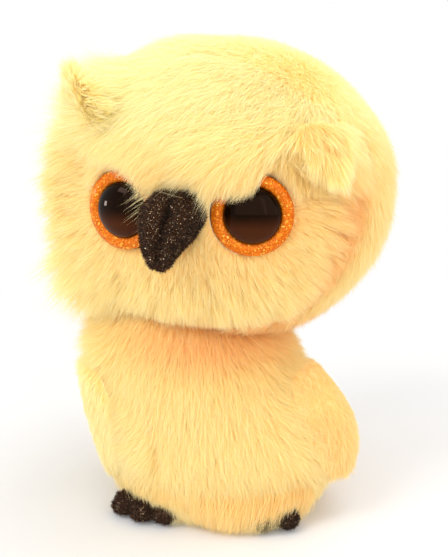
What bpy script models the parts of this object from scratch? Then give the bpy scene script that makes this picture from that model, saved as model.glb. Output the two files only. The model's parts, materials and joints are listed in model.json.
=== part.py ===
"""A plush owl, as it is sewn: covers over stuffing, wings and ear tufts on their seams, a beak and safety eyes.

It faces -Y and stands on z = 0. Lengths are in metres.
"""

import math

import bmesh
import bpy
from mathutils import Matrix, Vector
from mathutils.bvhtree import BVHTree

# Body, over its pile
BODY_WIDTH = 0.080
BODY_DEPTH = 0.070
BODY_HEIGHT = 0.076
BODY_LEAN = 0.0110
BODY_PLUSH = 0.005
SIDE_SEAM_Y = -0.004
BASE_DIAMETER = 0.042
PELLET_BAG_DIAMETER = 0.038
PELLET_BAG_HEIGHT = 0.016

# Head, over its pile. It sinks over the body's top, and what it carries is placed up it by shares of its height
NECK_SINK = 0.0160
HEAD_WIDTH = 0.104
HEAD_DEPTH = 0.094
HEAD_HEIGHT = 0.093
HEAD_BOTTOM = BODY_HEIGHT - NECK_SINK
HEAD_PLUSH = 0.008
FACE_SEAM_Y = -0.022
BROW_ABOVE_EYES = 0.0135
BROW_RADIUS = 0.056

# Wings, each hanging from a seam at the shoulder to a little above the floor
WING_TIP_LEFT = 0.0125
WING_TIP_RIGHT = 0.0090
WING_WIDTH = 0.034
WING_LINING = 0.0018
WING_PLUSH = 0.0044
SHOULDER_DROP = 0.0250
SHOULDER_HEIGHT = BODY_HEIGHT - SHOULDER_DROP
WING_LENGTH_LEFT = SHOULDER_HEIGHT - WING_TIP_LEFT
WING_LENGTH_RIGHT = SHOULDER_HEIGHT - WING_TIP_RIGHT
SHOULDER_Y = -0.002
SHOULDER_AZIMUTH = {"left": math.radians(84), "right": math.radians(61)}
WING_OPEN = {"left": math.radians(3), "right": math.radians(0)}

# Ear tufts, each on a seam where the brow meets the back of the head
EAR_LENGTH = 0.0165
EAR_WIDTH = 0.0180
EAR_LINING = 0.0016
EAR_PLUSH = 0.0030
EAR_AZIMUTH = math.radians(47)
EAR_RISE_SHARE = 0.7204
EAR_HEIGHT = HEAD_BOTTOM + HEAD_HEIGHT * EAR_RISE_SHARE
EAR_RAISED = {"left": math.radians(24), "right": math.radians(142)}

# Eyes: a glitter iris disc, and a domed pupil whose ridged shank holds a lock washer
EYE_SPACING = 0.0405
EYE_RISE_SHARE = 0.4785
EYE_HEIGHT = HEAD_BOTTOM + HEAD_HEIGHT * EYE_RISE_SHARE
EYE_SPLAY = math.radians(12)
IRIS_DIAMETER = 0.0232
IRIS_THICKNESS = 0.0014
IRIS_CROWN = 0.0009
PUPIL_DIAMETER = 0.0160
PUPIL_DOME = 0.0034
EYE_RECESS = 0.0042
SHANK_DIAMETER = 0.0046
SHANK_LENGTH = 0.0140
SHANK_RIDGE = 0.0004
SHANK_RIDGES = 3
WASHER_DIAMETER = 0.0130
WASHER_THICKNESS = 0.0014
WASHER_DEPTH = 0.0032

# Beak, sewn from two panels over its own stuffing
BEAK_WIDTH = 0.0180
BEAK_HEIGHT = 0.0225
BEAK_DEPTH = 0.0180
BEAK_ABOVE_EYES = 0.0075
BEAK_TOP = EYE_HEIGHT + BEAK_ABOVE_EYES
BEAK_X = -0.0012
BEAK_LEAN = 0.0042

# Feet, with scalloped toes
FOOT_SPACING = 0.033
FOOT_LENGTH = 0.0230
FOOT_HEIGHT = 0.0085
FOOT_REACH_LEFT = 0.0300
FOOT_REACH_RIGHT = 0.0345
FOOT_TURN = math.radians(10)
TOE_COUNT = 3
TOE_WIDTH = 0.0094
TOE_SPREAD = math.radians(24)
SOLE_THICKNESS = 0.0014

# Fits
SEAM_GAP = 0.0003
FLAP_CLEARANCE = 0.0005
FLAT_DEPTH = 0.0005
OVERRUN = 0.010
MERGE_DISTANCE = 0.00001

SIDES = {"left": 1, "right": -1}

# Rows of height, half width, half depth and forward shift, as shares of half the form's own sizes
HEAD_SHAPE_SHARES = [
    (-0.96, 0.28, 0.30, 0.02),
    (-0.76, 0.67, 0.68, 0.03),
    (-0.36, 0.94, 0.94, 0.02),
    (0.08, 1.00, 1.00, 0.01),
    (0.48, 0.90, 0.91, -0.01),
    (0.79, 0.64, 0.66, -0.02),
    (0.96, 0.29, 0.30, -0.02),
]
BODY_SHAPE_SHARES = [
    (-1.00, 0.56, 0.58, -0.04),
    (-0.90, 0.79, 0.85, -0.05),
    (-0.62, 0.94, 0.98, -0.04),
    (-0.28, 1.00, 1.00, 0.00),
    (0.18, 0.84, 0.92, 0.04),
    (0.54, 0.71, 0.80, 0.06),
    (0.88, 0.49, 0.56, 0.06),
]
# No point of a form falls on the seams down its middle
SEAM_OFF_SHARE = 0.25
LEAN_FROM_SHARE = -0.36
LEAN_TO_SHARE = 0.62

# Rows of place along the flap and half width, as shares of its length and half width
WING_OUTLINE_SHARES = [(0.05, 0.62), (0.24, 0.93), (0.50, 1.00), (0.76, 0.78), (0.95, 0.34)]
EAR_OUTLINE_SHARES = [(-0.05, 0.72), (0.26, 1.00), (0.62, 0.68), (0.95, 0.18)]
WING_ROOT_SHARE = 0.55
LINING_ROOT_SHARE = 1.0
FLAP_FULLEST_SHARE = 0.25
WING_CROWN_SHARE = 0.75
EAR_ROOT_SHARE = 0.35
EAR_CROWN_SHARE = 0.60

# Rows of drop, half width, half depth and forward reach, as shares of the beak's own sizes
BEAK_SHAPE_SHARES = [
    (0.03, 0.52, 0.44, -0.10),
    (0.20, 0.98, 0.92, 0.00),
    (0.46, 0.98, 1.00, 0.13),
    (0.74, 0.62, 0.72, 0.30),
    (0.96, 0.26, 0.32, 0.42),
]
BEAK_LOBE_SHIFT_SHARE = 0.42
BEAK_LOBE_WIDTH_SHARE = 0.60
BEAK_CORE_WIDTH_SHARE = 0.78
BEAK_CORE_DEPTH_SHARE = 0.54

# The heel's and a toe's half length, as shares of the foot's length
HEEL_SHARE = 0.38
TOE_SHARE = 0.36


# The sRGB curve
SRGB_KNEE = 0.04045
SRGB_SLOPE = 12.92
SRGB_OFFSET = 0.055
SRGB_POWER = 2.4


def linear(hex_colour):
    """Turn an sRGB hex colour into the linear values that a shader takes."""
    channels = [int(hex_colour[i : i + 2], 16) / 255 for i in (1, 3, 5)]
    return [linear_channel(channel) for channel in channels]


def linear_channel(channel):
    if channel <= SRGB_KNEE:
        return channel / SRGB_SLOPE
    return ((channel + SRGB_OFFSET) / (1 + SRGB_OFFSET)) ** SRGB_POWER


MATERIALS = {
    "long plush": ("#fbe9c6", 0.95, 0.0),
    "short plush": ("#f8e6c4", 0.92, 0.0),
    "fibre fill": ("#f4f2ec", 1.0, 0.0),
    "glitter plastic": ("#c8761c", 0.35, 0.4),
    "dark gloss plastic": ("#1c0f0a", 0.08, 0.0),
    "white nylon": ("#e8e6e0", 0.5, 0.0),
    "sparkle velour": ("#1d1410", 0.7, 0.1),
    "pellet cloth": ("#dcdad2", 0.9, 0.0),
}


def new_collection(name):
    collection = bpy.data.collections.new(name)
    bpy.context.scene.collection.children.link(collection)
    return collection


def new_material(name, finish):
    """Give each part its own Principled material, in the finish's colour, roughness and metallic value."""
    colour, roughness, metallic = MATERIALS[finish]
    material = bpy.data.materials.new(f"{name} {finish}")
    material.use_nodes = True
    shader = material.node_tree.nodes["Principled BSDF"]
    shader.inputs["Base Color"].default_value = (*linear(colour), 1)
    shader.inputs["Roughness"].default_value = roughness
    shader.inputs["Metallic"].default_value = metallic
    return material


def add_part(name, mesh, finish):
    part = bpy.data.objects.new(name, mesh.copy())
    part.data.name = name
    part.data.materials.clear()
    part.data.materials.append(new_material(name, finish))
    part.data.shade_smooth()
    PARTS.objects.link(part)
    return part


def add_cutter(name, mesh):
    cutter = bpy.data.objects.new(name, mesh)
    cutter.hide_render = True
    cutter.display_type = "WIRE"
    CUTTERS.objects.link(cutter)
    return cutter


def boolean(part, cutter, operation="DIFFERENCE"):
    modifier = part.modifiers.new(f"{operation.lower()} {cutter.name}", "BOOLEAN")
    modifier.operation = operation
    modifier.object = cutter
    modifier.solver = "EXACT"


def mesh_from(form, name):
    """Turn a bmesh into a mesh whose faces point out."""
    bmesh.ops.recalc_face_normals(form, faces=form.faces)
    mesh = bpy.data.meshes.new(name)
    form.to_mesh(mesh)
    form.free()
    return mesh


def smoothed(mesh, levels):
    """Apply a Subdivision Surface to a cage and give back the smooth mesh."""
    holder = bpy.data.objects.new("cage", mesh)
    PARTS.objects.link(holder)
    modifier = holder.modifiers.new("smooth", "SUBSURF")
    modifier.levels = levels
    modifier.render_levels = levels
    result = evaluated(holder)
    bpy.data.objects.remove(holder)
    return result


def evaluated(holder):
    """The object's mesh with its modifiers applied."""
    bpy.context.view_layer.update()
    graph = bpy.context.evaluated_depsgraph_get()
    return bpy.data.meshes.new_from_object(holder.evaluated_get(graph))


def loft(rings, name):
    """Join rings of points into a cage, closed by a pole at each end."""
    form = bmesh.new()
    rows = [[form.verts.new(point) for point in ring] for ring in rings]
    for low, high in zip(rows, rows[1:]):
        for i in range(len(low)):
            j = (i + 1) % len(low)
            form.faces.new((low[i], low[j], high[j], high[i]))
    for row in (rows[0], rows[-1]):
        middle = sum((vertex.co for vertex in row), Vector()) / len(row)
        pole = form.verts.new(middle)
        for i in range(len(row)):
            form.faces.new((row[i], row[(i + 1) % len(row)], pole))
    return mesh_from(form, name)


def swelling_form(name, shape_shares, size, centre, inset, around, lean=0.0):
    """A stuffed form whose width and depth swell and taper with height, fitted to its size less an inset.

    Its upper part leans over to -X.
    """
    half = [length / 2 - inset for length in size]
    rings = []
    for height, width, depth, forward in shape_shares:
        ring = []
        for i in range(around):
            turn = math.tau * (i + SEAM_OFF_SHARE) / around
            x = half[0] * width * math.cos(turn)
            y = half[1] * (depth * math.sin(turn) - forward)
            ring.append(Vector((x, y, half[2] * height)))
        rings.append(ring)
    mesh = smoothed(loft(rings, name), 1)
    low, high = bounds(mesh)
    for vertex in mesh.vertices:
        for axis in range(3):
            share = (vertex.co[axis] - low[axis]) / (high[axis] - low[axis])
            vertex.co[axis] = centre[axis] + half[axis] * (2 * share - 1)
        vertex.co.x -= lean * lean_share((vertex.co.z - centre[2]) / size[2] * 2)
    mesh.name = name
    return mesh


def lean_share(height):
    """How much of the lean a height has taken up, from none low in the form to all of it at the shoulders."""
    rise = min(1.0, max(0.0, (height - LEAN_FROM_SHARE) / (LEAN_TO_SHARE - LEAN_FROM_SHARE)))
    return rise * rise * (3 - 2 * rise)


def bounds(mesh):
    corners = [[vertex.co[axis] for vertex in mesh.vertices] for axis in range(3)]
    return [min(c) for c in corners], [max(c) for c in corners]


def tree_of(mesh):
    """A search tree of a form's surface, on which other pieces are seated."""
    points = [vertex.co for vertex in mesh.vertices]
    return BVHTree.FromPolygons(points, [tuple(face.vertices) for face in mesh.polygons])


def surface_point(tree, start, direction):
    """Where a line that comes from far outside, against the direction, meets the surface, and the normal."""
    direction = Vector(direction).normalized()
    reach = HEAD_WIDTH + HEAD_HEIGHT
    place, normal, _, _ = tree.ray_cast(Vector(start) + direction * reach, -direction)
    return place, normal


def box(name, low, high):
    form = bmesh.new()
    bmesh.ops.create_cube(form, size=1.0)
    size = Vector(high) - Vector(low)
    bmesh.ops.scale(form, vec=size, verts=form.verts)
    bmesh.ops.translate(form, vec=(Vector(low) + Vector(high)) / 2, verts=form.verts)
    return add_cutter(name, mesh_from(form, name))


def turned(name, profile, steps=32):
    """Turn a closed profile of radius and height about Z with a Screw modifier."""
    form = bmesh.new()
    points = [form.verts.new((radius, 0, height)) for radius, height in profile]
    for start, end in zip(points, points[1:]):
        form.edges.new((start, end))
    if profile[0][0] > 0:
        form.edges.new((points[-1], points[0]))
    mesh = bpy.data.meshes.new(name)
    form.to_mesh(mesh)
    form.free()
    holder = bpy.data.objects.new(name, mesh)
    PARTS.objects.link(holder)
    screw = holder.modifiers.new("turn", "SCREW")
    screw.steps = steps
    screw.render_steps = steps
    screw.use_merge_vertices = True
    screw.merge_threshold = MERGE_DISTANCE
    result = evaluated(holder)
    bpy.data.objects.remove(holder)
    form = bmesh.new()
    form.from_mesh(result)
    return mesh_from(form, name)


def cover_sizes():
    head = (HEAD_WIDTH, HEAD_DEPTH, HEAD_HEIGHT)
    head_centre = (0, 0, HEAD_BOTTOM + HEAD_HEIGHT / 2)
    body = (BODY_WIDTH, BODY_DEPTH, BODY_HEIGHT + FLAT_DEPTH)
    body_centre = (0, 0, (BODY_HEIGHT - FLAT_DEPTH) / 2)
    return head, head_centre, body, body_centre


def head_form(name, inset=0.0):
    """The head's form. The inner ones, which only the stuffing meets, have fewer rows."""
    head, head_centre, _, _ = cover_sizes()
    rows, around = (HEAD_SHAPE_SHARES[::2], 8) if inset > 0 else (HEAD_SHAPE_SHARES, 12)
    return swelling_form(name, rows, head, head_centre, inset, around)


def body_form(name, inset=0.0):
    """The body's form. The inner ones, which only the stuffing meets, have fewer rows."""
    _, _, body, body_centre = cover_sizes()
    rows, around = (BODY_SHAPE_SHARES[::2], 8) if inset > 0 else (BODY_SHAPE_SHARES, 12)
    return swelling_form(name, rows, body, body_centre, inset, around, BODY_LEAN)


def half_spaces():
    """Boxes that split the covers at their seams. Each reaches half a seam gap past its seam."""
    far = HEAD_WIDTH + HEAD_HEIGHT
    half_gap = SEAM_GAP / 2
    spaces = {
        "head_rear": box("head_rear_space", (-far, FACE_SEAM_Y - half_gap, -far), (far, far, far)),
        "head_front": box("head_front_space", (-far, -far, -far), (far, FACE_SEAM_Y + half_gap, far)),
        "body_rear": box("body_rear_space", (-far, SIDE_SEAM_Y - half_gap, -far), (far, far, far)),
        "body_front": box("body_front_space", (-far, -far, -far), (far, SIDE_SEAM_Y + half_gap, far)),
        "left": box("left_space", (-half_gap, -far, -far), (far, far, far)),
        "right": box("right_space", (-far, -far, -far), (half_gap, far, far)),
        "floor": box("floor_space", (-far, -far, -far), (far, far, 0)),
    }
    return spaces


def brow_space(name, grow):
    """The cylinder along Y whose lowest line is the middle of the brow seam."""
    form = bmesh.new()
    bmesh.ops.create_cone(
        form,
        cap_ends=True,
        segments=48,
        radius1=BROW_RADIUS + grow,
        radius2=BROW_RADIUS + grow,
        depth=HEAD_DEPTH + 2 * OVERRUN,
    )
    cutter = add_cutter(name, mesh_from(form, name))
    cutter.rotation_euler = (math.pi / 2, 0, 0)
    cutter.location = (0, 0, EYE_HEIGHT + BROW_ABOVE_EYES + BROW_RADIUS)
    return cutter


def make_head(spaces, eye_spaces):
    outer = head_form("head_outer")
    hollow = add_cutter("head_hollow", head_form("head_hollow", HEAD_PLUSH))
    under_brow = brow_space("under_brow_space", -SEAM_GAP / 2)
    over_brow = brow_space("over_brow_space", SEAM_GAP / 2)

    face = add_part("head_face_panel", outer, "long plush")
    boolean(face, hollow)
    boolean(face, spaces["head_rear"])
    boolean(face, over_brow)
    for eye_space in eye_spaces:
        boolean(face, eye_space)

    crown = add_part("head_crown_panel", outer, "long plush")
    boolean(crown, hollow)
    boolean(crown, spaces["head_rear"])
    boolean(crown, under_brow, "INTERSECT")

    for side, other in (("left", "right"), ("right", "left")):
        back = add_part(f"head_back_{side}", outer, "short plush")
        boolean(back, hollow)
        boolean(back, spaces["head_front"])
        boolean(back, spaces[other])

    stuffing = add_part("head_stuffing", head_form("head_stuffing", HEAD_PLUSH + SEAM_GAP), "fibre fill")
    for eye_space in eye_spaces:
        boolean(stuffing, eye_space)


def make_body(spaces, head_space):
    outer = body_form("body_outer")
    hollow = add_cutter("body_hollow", body_form("body_hollow", BODY_PLUSH))
    base_edge = disc_space("base_edge_space", BASE_DIAMETER / 2 + SEAM_GAP / 2)
    base_disc = disc_space("base_disc_space", BASE_DIAMETER / 2 - SEAM_GAP / 2)

    belly = add_part("body_belly_panel", outer, "long plush")
    boolean(belly, hollow)
    boolean(belly, spaces["body_rear"])
    boolean(belly, base_edge)
    boolean(belly, head_space)
    boolean(belly, spaces["floor"])

    for side, other in (("left", "right"), ("right", "left")):
        back = add_part(f"body_back_{side}", outer, "short plush")
        boolean(back, hollow)
        boolean(back, spaces["body_front"])
        boolean(back, spaces[other])
        boolean(back, base_edge)
        boolean(back, head_space)
        boolean(back, spaces["floor"])

    base = add_part("base_panel", outer, "short plush")
    boolean(base, hollow)
    boolean(base, base_disc, "INTERSECT")
    boolean(base, spaces["floor"])

    stuffing_mesh = body_form("body_stuffing", BODY_PLUSH + SEAM_GAP)
    stuffing = add_part("body_stuffing", stuffing_mesh, "fibre fill")
    boolean(stuffing, head_space)
    boolean(stuffing, add_cutter("pellet_pocket", pellet_form("pellet_pocket", SEAM_GAP)))
    boolean(stuffing, disc_space("pellet_mouth", PELLET_BAG_DIAMETER / 4, PELLET_BAG_HEIGHT / 2))
    add_part("pellet_bag", pellet_form("pellet_bag", 0.0), "pellet cloth")
    return outer


def disc_space(name, radius, height=None):
    """A cylinder about the body's axis, through the floor and up past the cover's thickness."""
    height = height or BODY_PLUSH + OVERRUN
    form = bmesh.new()
    bmesh.ops.create_cone(form, cap_ends=True, segments=40, radius1=radius, radius2=radius, depth=height + OVERRUN)
    bmesh.ops.translate(form, vec=(0, 0, (height - OVERRUN) / 2), verts=form.verts)
    return add_cutter(name, mesh_from(form, name))


def pellet_form(name, grow):
    """A squat bag that lies on the base panel."""
    form = bmesh.new()
    bmesh.ops.create_uvsphere(form, u_segments=16, v_segments=8, radius=1.0)
    half_height = PELLET_BAG_HEIGHT / 2 + grow
    radius = PELLET_BAG_DIAMETER / 2 + grow
    bmesh.ops.scale(form, vec=(radius, radius, half_height), verts=form.verts)
    low = BODY_PLUSH + 2 * SEAM_GAP + PELLET_BAG_HEIGHT / 2
    bmesh.ops.translate(form, vec=(0, 0, low), verts=form.verts)
    return mesh_from(form, name)


def eye_frame(face_tree, side):
    """The eye's axis points out of the face, and its origin is on the back of the iris disc."""
    splay = EYE_SPLAY * SIDES[side]
    axis = Vector((math.sin(splay), -math.cos(splay), 0))
    middle_x = SIDES[side] * EYE_SPACING / 2 - axis.x * HEAD_DEPTH / 2
    on_axis, _ = surface_point(face_tree, (middle_x, 0, EYE_HEIGHT), axis)
    turn = axis.to_track_quat("Z", "Y").to_matrix().to_4x4()
    return Matrix.Translation(on_axis - axis * EYE_RECESS) @ turn


def eye_space_mesh(name):
    """The room for one eye: a seat for the disc, a bore for the shank and a pocket for the washer."""
    disc = IRIS_DIAMETER / 2 + SEAM_GAP
    bore = SHANK_DIAMETER / 2 + SHANK_RIDGE + SEAM_GAP
    pocket = WASHER_DIAMETER / 2 + SEAM_GAP
    top = -WASHER_DEPTH + SEAM_GAP
    bottom = -WASHER_DEPTH - WASHER_THICKNESS - SEAM_GAP
    profile = [
        (0, OVERRUN),
        (disc, OVERRUN),
        (disc, -SEAM_GAP),
        (bore, -SEAM_GAP),
        (bore, top),
        (pocket, top),
        (pocket, bottom),
        (bore, bottom),
        (bore, -SHANK_LENGTH - SEAM_GAP),
        (0, -SHANK_LENGTH - SEAM_GAP),
    ]
    return turned(name, profile, 22)


def iris_mesh(name):
    """A disc with a raised, rounded glitter ring and a flat seat for the pupil."""
    rim = IRIS_DIAMETER / 2
    seat = PUPIL_DIAMETER / 2 + SEAM_GAP
    middle = (rim + seat) / 2
    bore = SHANK_DIAMETER / 2 + SHANK_RIDGE + SEAM_GAP
    seat_height = IRIS_THICKNESS / 2
    profile = [
        (bore, 0),
        (rim - IRIS_THICKNESS / 2, 0),
        (rim, IRIS_THICKNESS / 2),
        (rim - IRIS_THICKNESS / 4, IRIS_THICKNESS),
        (middle, IRIS_THICKNESS + IRIS_CROWN),
        (seat, IRIS_THICKNESS + IRIS_CROWN / 2),
        (seat, seat_height),
        (bore, seat_height),
    ]
    return turned(name, profile, 26)


def pupil_mesh(name):
    """A glossy dome on a ridged shank."""
    radius = PUPIL_DIAMETER / 2
    low = IRIS_THICKNESS / 2 + SEAM_GAP
    edge = IRIS_THICKNESS + IRIS_CROWN / 2
    profile = [(0, edge + PUPIL_DOME)]
    steps = 5
    for i in range(1, steps + 1):
        turn = math.pi / 2 * i / steps
        profile.append((radius * math.sin(turn), edge + PUPIL_DOME * math.cos(turn)))
    profile.append((radius, low))
    shank = SHANK_DIAMETER / 2
    profile.append((shank, low))
    first = -WASHER_DEPTH - WASHER_THICKNESS - SEAM_GAP
    pitch = (SHANK_LENGTH + first) / (SHANK_RIDGES + 1)
    for i in range(SHANK_RIDGES):
        top = first - pitch * i
        profile.append((shank, top))
        profile.append((shank + SHANK_RIDGE, top - pitch / 4))
        profile.append((shank, top - 3 * pitch / 4))
    profile.append((shank, first - pitch * SHANK_RIDGES))
    profile.append((shank / 2, -SHANK_LENGTH))
    profile.append((0, -SHANK_LENGTH))
    return turned(name, profile, 20)


def washer_mesh(name):
    bore = SHANK_DIAMETER / 2 + SEAM_GAP
    rim = WASHER_DIAMETER / 2
    top = -WASHER_DEPTH
    bottom = top - WASHER_THICKNESS
    lip = WASHER_THICKNESS / 3
    profile = [(bore, bottom), (rim - lip, bottom), (rim, bottom + lip), (rim, top), (bore, top)]
    return turned(name, profile, 20)


def make_eyes(face_tree):
    """Place both eyes, and give back the room that each needs."""
    rooms = []
    for side in SIDES:
        frame = eye_frame(face_tree, side)
        for name, mesh, finish in (
            (f"eye_iris_{side}", iris_mesh("iris"), "glitter plastic"),
            (f"eye_pupil_{side}", pupil_mesh("pupil"), "dark gloss plastic"),
            (f"eye_washer_{side}", washer_mesh("washer"), "white nylon"),
        ):
            part = add_part(name, mesh, finish)
            part.matrix_world = frame
        room = add_cutter(f"eye_space_{side}", eye_space_mesh("eye_space"))
        room.matrix_world = frame
        rooms.append(room)
    return rooms


def beak_form(name, lobe_side, inset=0.0):
    """A lobe lies to one side of the seam, flat against it, and the stuffing (side 0) lies across it."""
    half_width = BEAK_WIDTH / 2
    half_depth = BEAK_DEPTH / 2
    rings = []
    around = 8
    for drop, width, depth, reach in BEAK_SHAPE_SHARES:
        middle = lobe_side * half_width * width * BEAK_LOBE_SHIFT_SHARE
        wide = half_width * width * BEAK_LOBE_WIDTH_SHARE
        deep = half_depth * depth
        if not lobe_side:
            wide = half_width * width * BEAK_CORE_WIDTH_SHARE - inset
            deep = half_depth * depth * BEAK_CORE_DEPTH_SHARE - inset
        ring = []
        for i in range(around):
            turn = math.tau * i / around
            x = middle + wide * math.cos(turn)
            if lobe_side:
                x = lobe_side * max(SEAM_GAP / 2, lobe_side * x)
            ring.append(Vector((x, deep * math.sin(turn) - half_depth * reach, -drop * BEAK_HEIGHT)))
        rings.append(ring)
    mesh = smoothed(loft(rings, name), 1)
    for vertex in mesh.vertices:
        drop = vertex.co.z / BEAK_HEIGHT
        vertex.co.x -= BEAK_LEAN * drop * drop
    return mesh


def make_beak(face_tree, head_space):
    """Two panels meet at the seam down the middle, over the beak's own stuffing."""
    root, _ = surface_point(face_tree, (BEAK_X, 0, BEAK_TOP - BEAK_HEIGHT / 3), (0, -1, 0))
    place = Matrix.Translation((BEAK_X, root.y, BEAK_TOP))
    room = add_cutter("beak_hollow", beak_form("beak_hollow", 0, 0.0))
    room.matrix_world = place
    for side, lobe_side in SIDES.items():
        panel = add_part(f"beak_panel_{side}", beak_form("beak_lobe", lobe_side), "sparkle velour")
        panel.matrix_world = place
        boolean(panel, room)
        boolean(panel, head_space)
    stuffing = add_part("beak_stuffing", beak_form("beak_stuffing", 0, SEAM_GAP), "fibre fill")
    stuffing.matrix_world = place
    boolean(stuffing, head_space)


def flap(name, outline_shares, size, low, thickness, root_share, crown_share, bend, across=5):
    """A sewn flap that hangs from a hinge along its own Y, from low to low plus thickness out along X.

    Its thickness starts at the root's share and its edges thin by the crown's share. bend gives the
    distance that the flap's back stands out at each place.
    """
    length, width = size
    rings = []
    shares = [2 * i / (across - 1) - 1 for i in range(across)]
    for along, wide in outline_shares:
        z = -along * length
        swell = math.sin(math.pi * min(1.0, along + FLAP_FULLEST_SHARE))
        fullness = root_share + (1 - root_share) * swell
        back, front = [], []
        for share in shares:
            y = share * wide * width / 2
            x = bend(y, z) + low
            rise = 1 - crown_share * (1 - math.cos(share * math.pi / 2))
            back.append(Vector((x, y, z)))
            front.append(Vector((x + thickness * rise * fullness, y, z)))
        rings.append(back + front[::-1])
    return smoothed(loft(rings, name), 1)


def hinge_frame(pivot, outward, up):
    """X points out, Y runs along the hinge and Z up the surface."""
    outward = Vector(outward).normalized()
    along = Vector(up).cross(outward).normalized()
    upward = outward.cross(along)
    turn = Matrix((outward, along, upward)).transposed().to_4x4()
    return Matrix.Translation(pivot) @ turn


def make_wings(body_tree):
    """Each wing's lining is cut to lie along the body, and its outer bulges over the lining."""
    body_side_space = add_cutter("wing_clearance_space", body_form("wing_clearance_space", -FLAP_CLEARANCE))
    for side, sign in SIDES.items():
        azimuth = SHOULDER_AZIMUTH[side]
        outward = Vector((sign * math.sin(azimuth), -math.cos(azimuth), 0))
        start = Vector((-BODY_LEAN, SHOULDER_Y, SHOULDER_HEIGHT))
        place, normal = surface_point(body_tree, start, outward)
        root_radius = (WING_LINING + WING_PLUSH) / 4
        pivot = place + normal * (root_radius + FLAP_CLEARANCE)
        frame = hinge_frame(pivot, outward, (0, 0, 1))

        def body_side(y, z, frame=frame, outward=outward):
            place = frame @ Vector((0, y, z))
            hit, _ = surface_point(body_tree, place, outward)
            return (hit - place).dot(outward)

        hinge = bpy.data.objects.new(f"wing_hinge_{side}", None)
        PARTS.objects.link(hinge)
        hinge.matrix_world = frame @ Matrix.Rotation(-WING_OPEN[side], 4, "Y")
        size = (WING_LENGTH_LEFT if side == "left" else WING_LENGTH_RIGHT, WING_WIDTH)
        lining_depth = FLAP_CLEARANCE + WING_LINING
        outer_low = lining_depth + SEAM_GAP
        lining_shares = (LINING_ROOT_SHARE, 0)
        outer_shares = (WING_ROOT_SHARE, WING_CROWN_SHARE)
        lining = flap("lining", WING_OUTLINE_SHARES, size, 0, lining_depth, *lining_shares, body_side)
        outer = flap("outer", WING_OUTLINE_SHARES, size, outer_low, WING_PLUSH, *outer_shares, body_side)
        for name, mesh in ((f"wing_lining_{side}", lining), (f"wing_outer_{side}", outer)):
            part = add_part(name, mesh, "short plush")
            part.parent = hinge
            boolean(part, body_side_space)
        report_hinge(f"wing_{side}", hinge)


def make_ears(head_tree):
    _, head_centre, _, _ = cover_sizes()
    for side, sign in SIDES.items():
        outward = Vector((sign * math.sin(EAR_AZIMUTH), -math.cos(EAR_AZIMUTH), 0))
        place, normal = surface_point(head_tree, (0, 0, EAR_HEIGHT), outward)
        root_radius = (EAR_LINING + SEAM_GAP + EAR_PLUSH * EAR_ROOT_SHARE) / 2
        pivot = place + normal * (root_radius + FLAP_CLEARANCE)
        frame = hinge_frame(pivot, normal, (0, 0, 1))

        def flat(y, z):
            return -root_radius

        hinge = bpy.data.objects.new(f"ear_hinge_{side}", None)
        PARTS.objects.link(hinge)
        hinge.matrix_world = frame @ Matrix.Rotation(-EAR_RAISED[side], 4, "Y")
        size = (EAR_LENGTH, EAR_WIDTH)
        lining_shares = (LINING_ROOT_SHARE, 0)
        tuft_shares = (EAR_ROOT_SHARE, EAR_CROWN_SHARE)
        lining = flap("lining", EAR_OUTLINE_SHARES, size, 0, EAR_LINING, *lining_shares, flat, 3)
        tuft = flap("tuft", EAR_OUTLINE_SHARES, size, EAR_LINING + SEAM_GAP, EAR_PLUSH, *tuft_shares, flat, 3)
        for name, mesh, finish in (
            (f"ear_lining_{side}", lining, "short plush"),
            (f"ear_tuft_{side}", tuft, "long plush"),
        ):
            part = add_part(name, mesh, finish)
            part.parent = hinge
        report_hinge(f"ear_{side}", hinge)


def report_hinge(name, hinge):
    """Print where a hinge is and which way raises its flap."""
    bpy.context.view_layer.update()
    place = hinge.matrix_world.translation
    axis = -hinge.matrix_world.col[1].to_3d()
    print(name, "hinge at", [round(v, 5) for v in place], "raised about", [round(v, 5) for v in axis])


def foot_form(name, side):
    """A heel and a fan of toes, joined into one pad."""
    sign = SIDES[side]
    heel_half_length = FOOT_LENGTH * HEEL_SHARE
    toe_half_length = FOOT_LENGTH * TOE_SHARE
    pads = [(0, heel_half_length, TOE_WIDTH, heel_half_length)]
    for i in range(TOE_COUNT):
        turn = TOE_SPREAD * (i - (TOE_COUNT - 1) / 2)
        pads.append((turn, FOOT_LENGTH - toe_half_length, TOE_WIDTH / 2, toe_half_length))
    middle_z = FOOT_HEIGHT / 2 - FLAT_DEPTH
    first = None
    joined = []
    for k, (turn, forward, half_width, half_length) in enumerate(pads):
        form = bmesh.new()
        bmesh.ops.create_uvsphere(form, u_segments=12, v_segments=6, radius=1.0)
        size = (half_width, half_length, FOOT_HEIGHT / 2)
        bmesh.ops.scale(form, vec=size, verts=form.verts)
        bmesh.ops.translate(form, vec=(0, -forward, 0), verts=form.verts)
        bmesh.ops.rotate(form, matrix=Matrix.Rotation(turn, 3, "Z"), verts=form.verts)
        pad = add_cutter(f"{name}_pad_{k}", mesh_from(form, f"{name}_pad_{k}"))
        if first is None:
            first = pad
        else:
            boolean(first, pad, "UNION")
            joined.append(pad)
    mesh = evaluated(first)
    for pad in joined + [first]:
        bpy.data.objects.remove(pad)
    reach = FOOT_REACH_LEFT if side == "left" else FOOT_REACH_RIGHT
    heel = Vector((sign * FOOT_SPACING / 2, FOOT_LENGTH - reach, middle_z))
    mesh.transform(Matrix.Translation(heel) @ Matrix.Rotation(sign * FOOT_TURN, 4, "Z"))
    mesh.name = name
    return mesh


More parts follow.
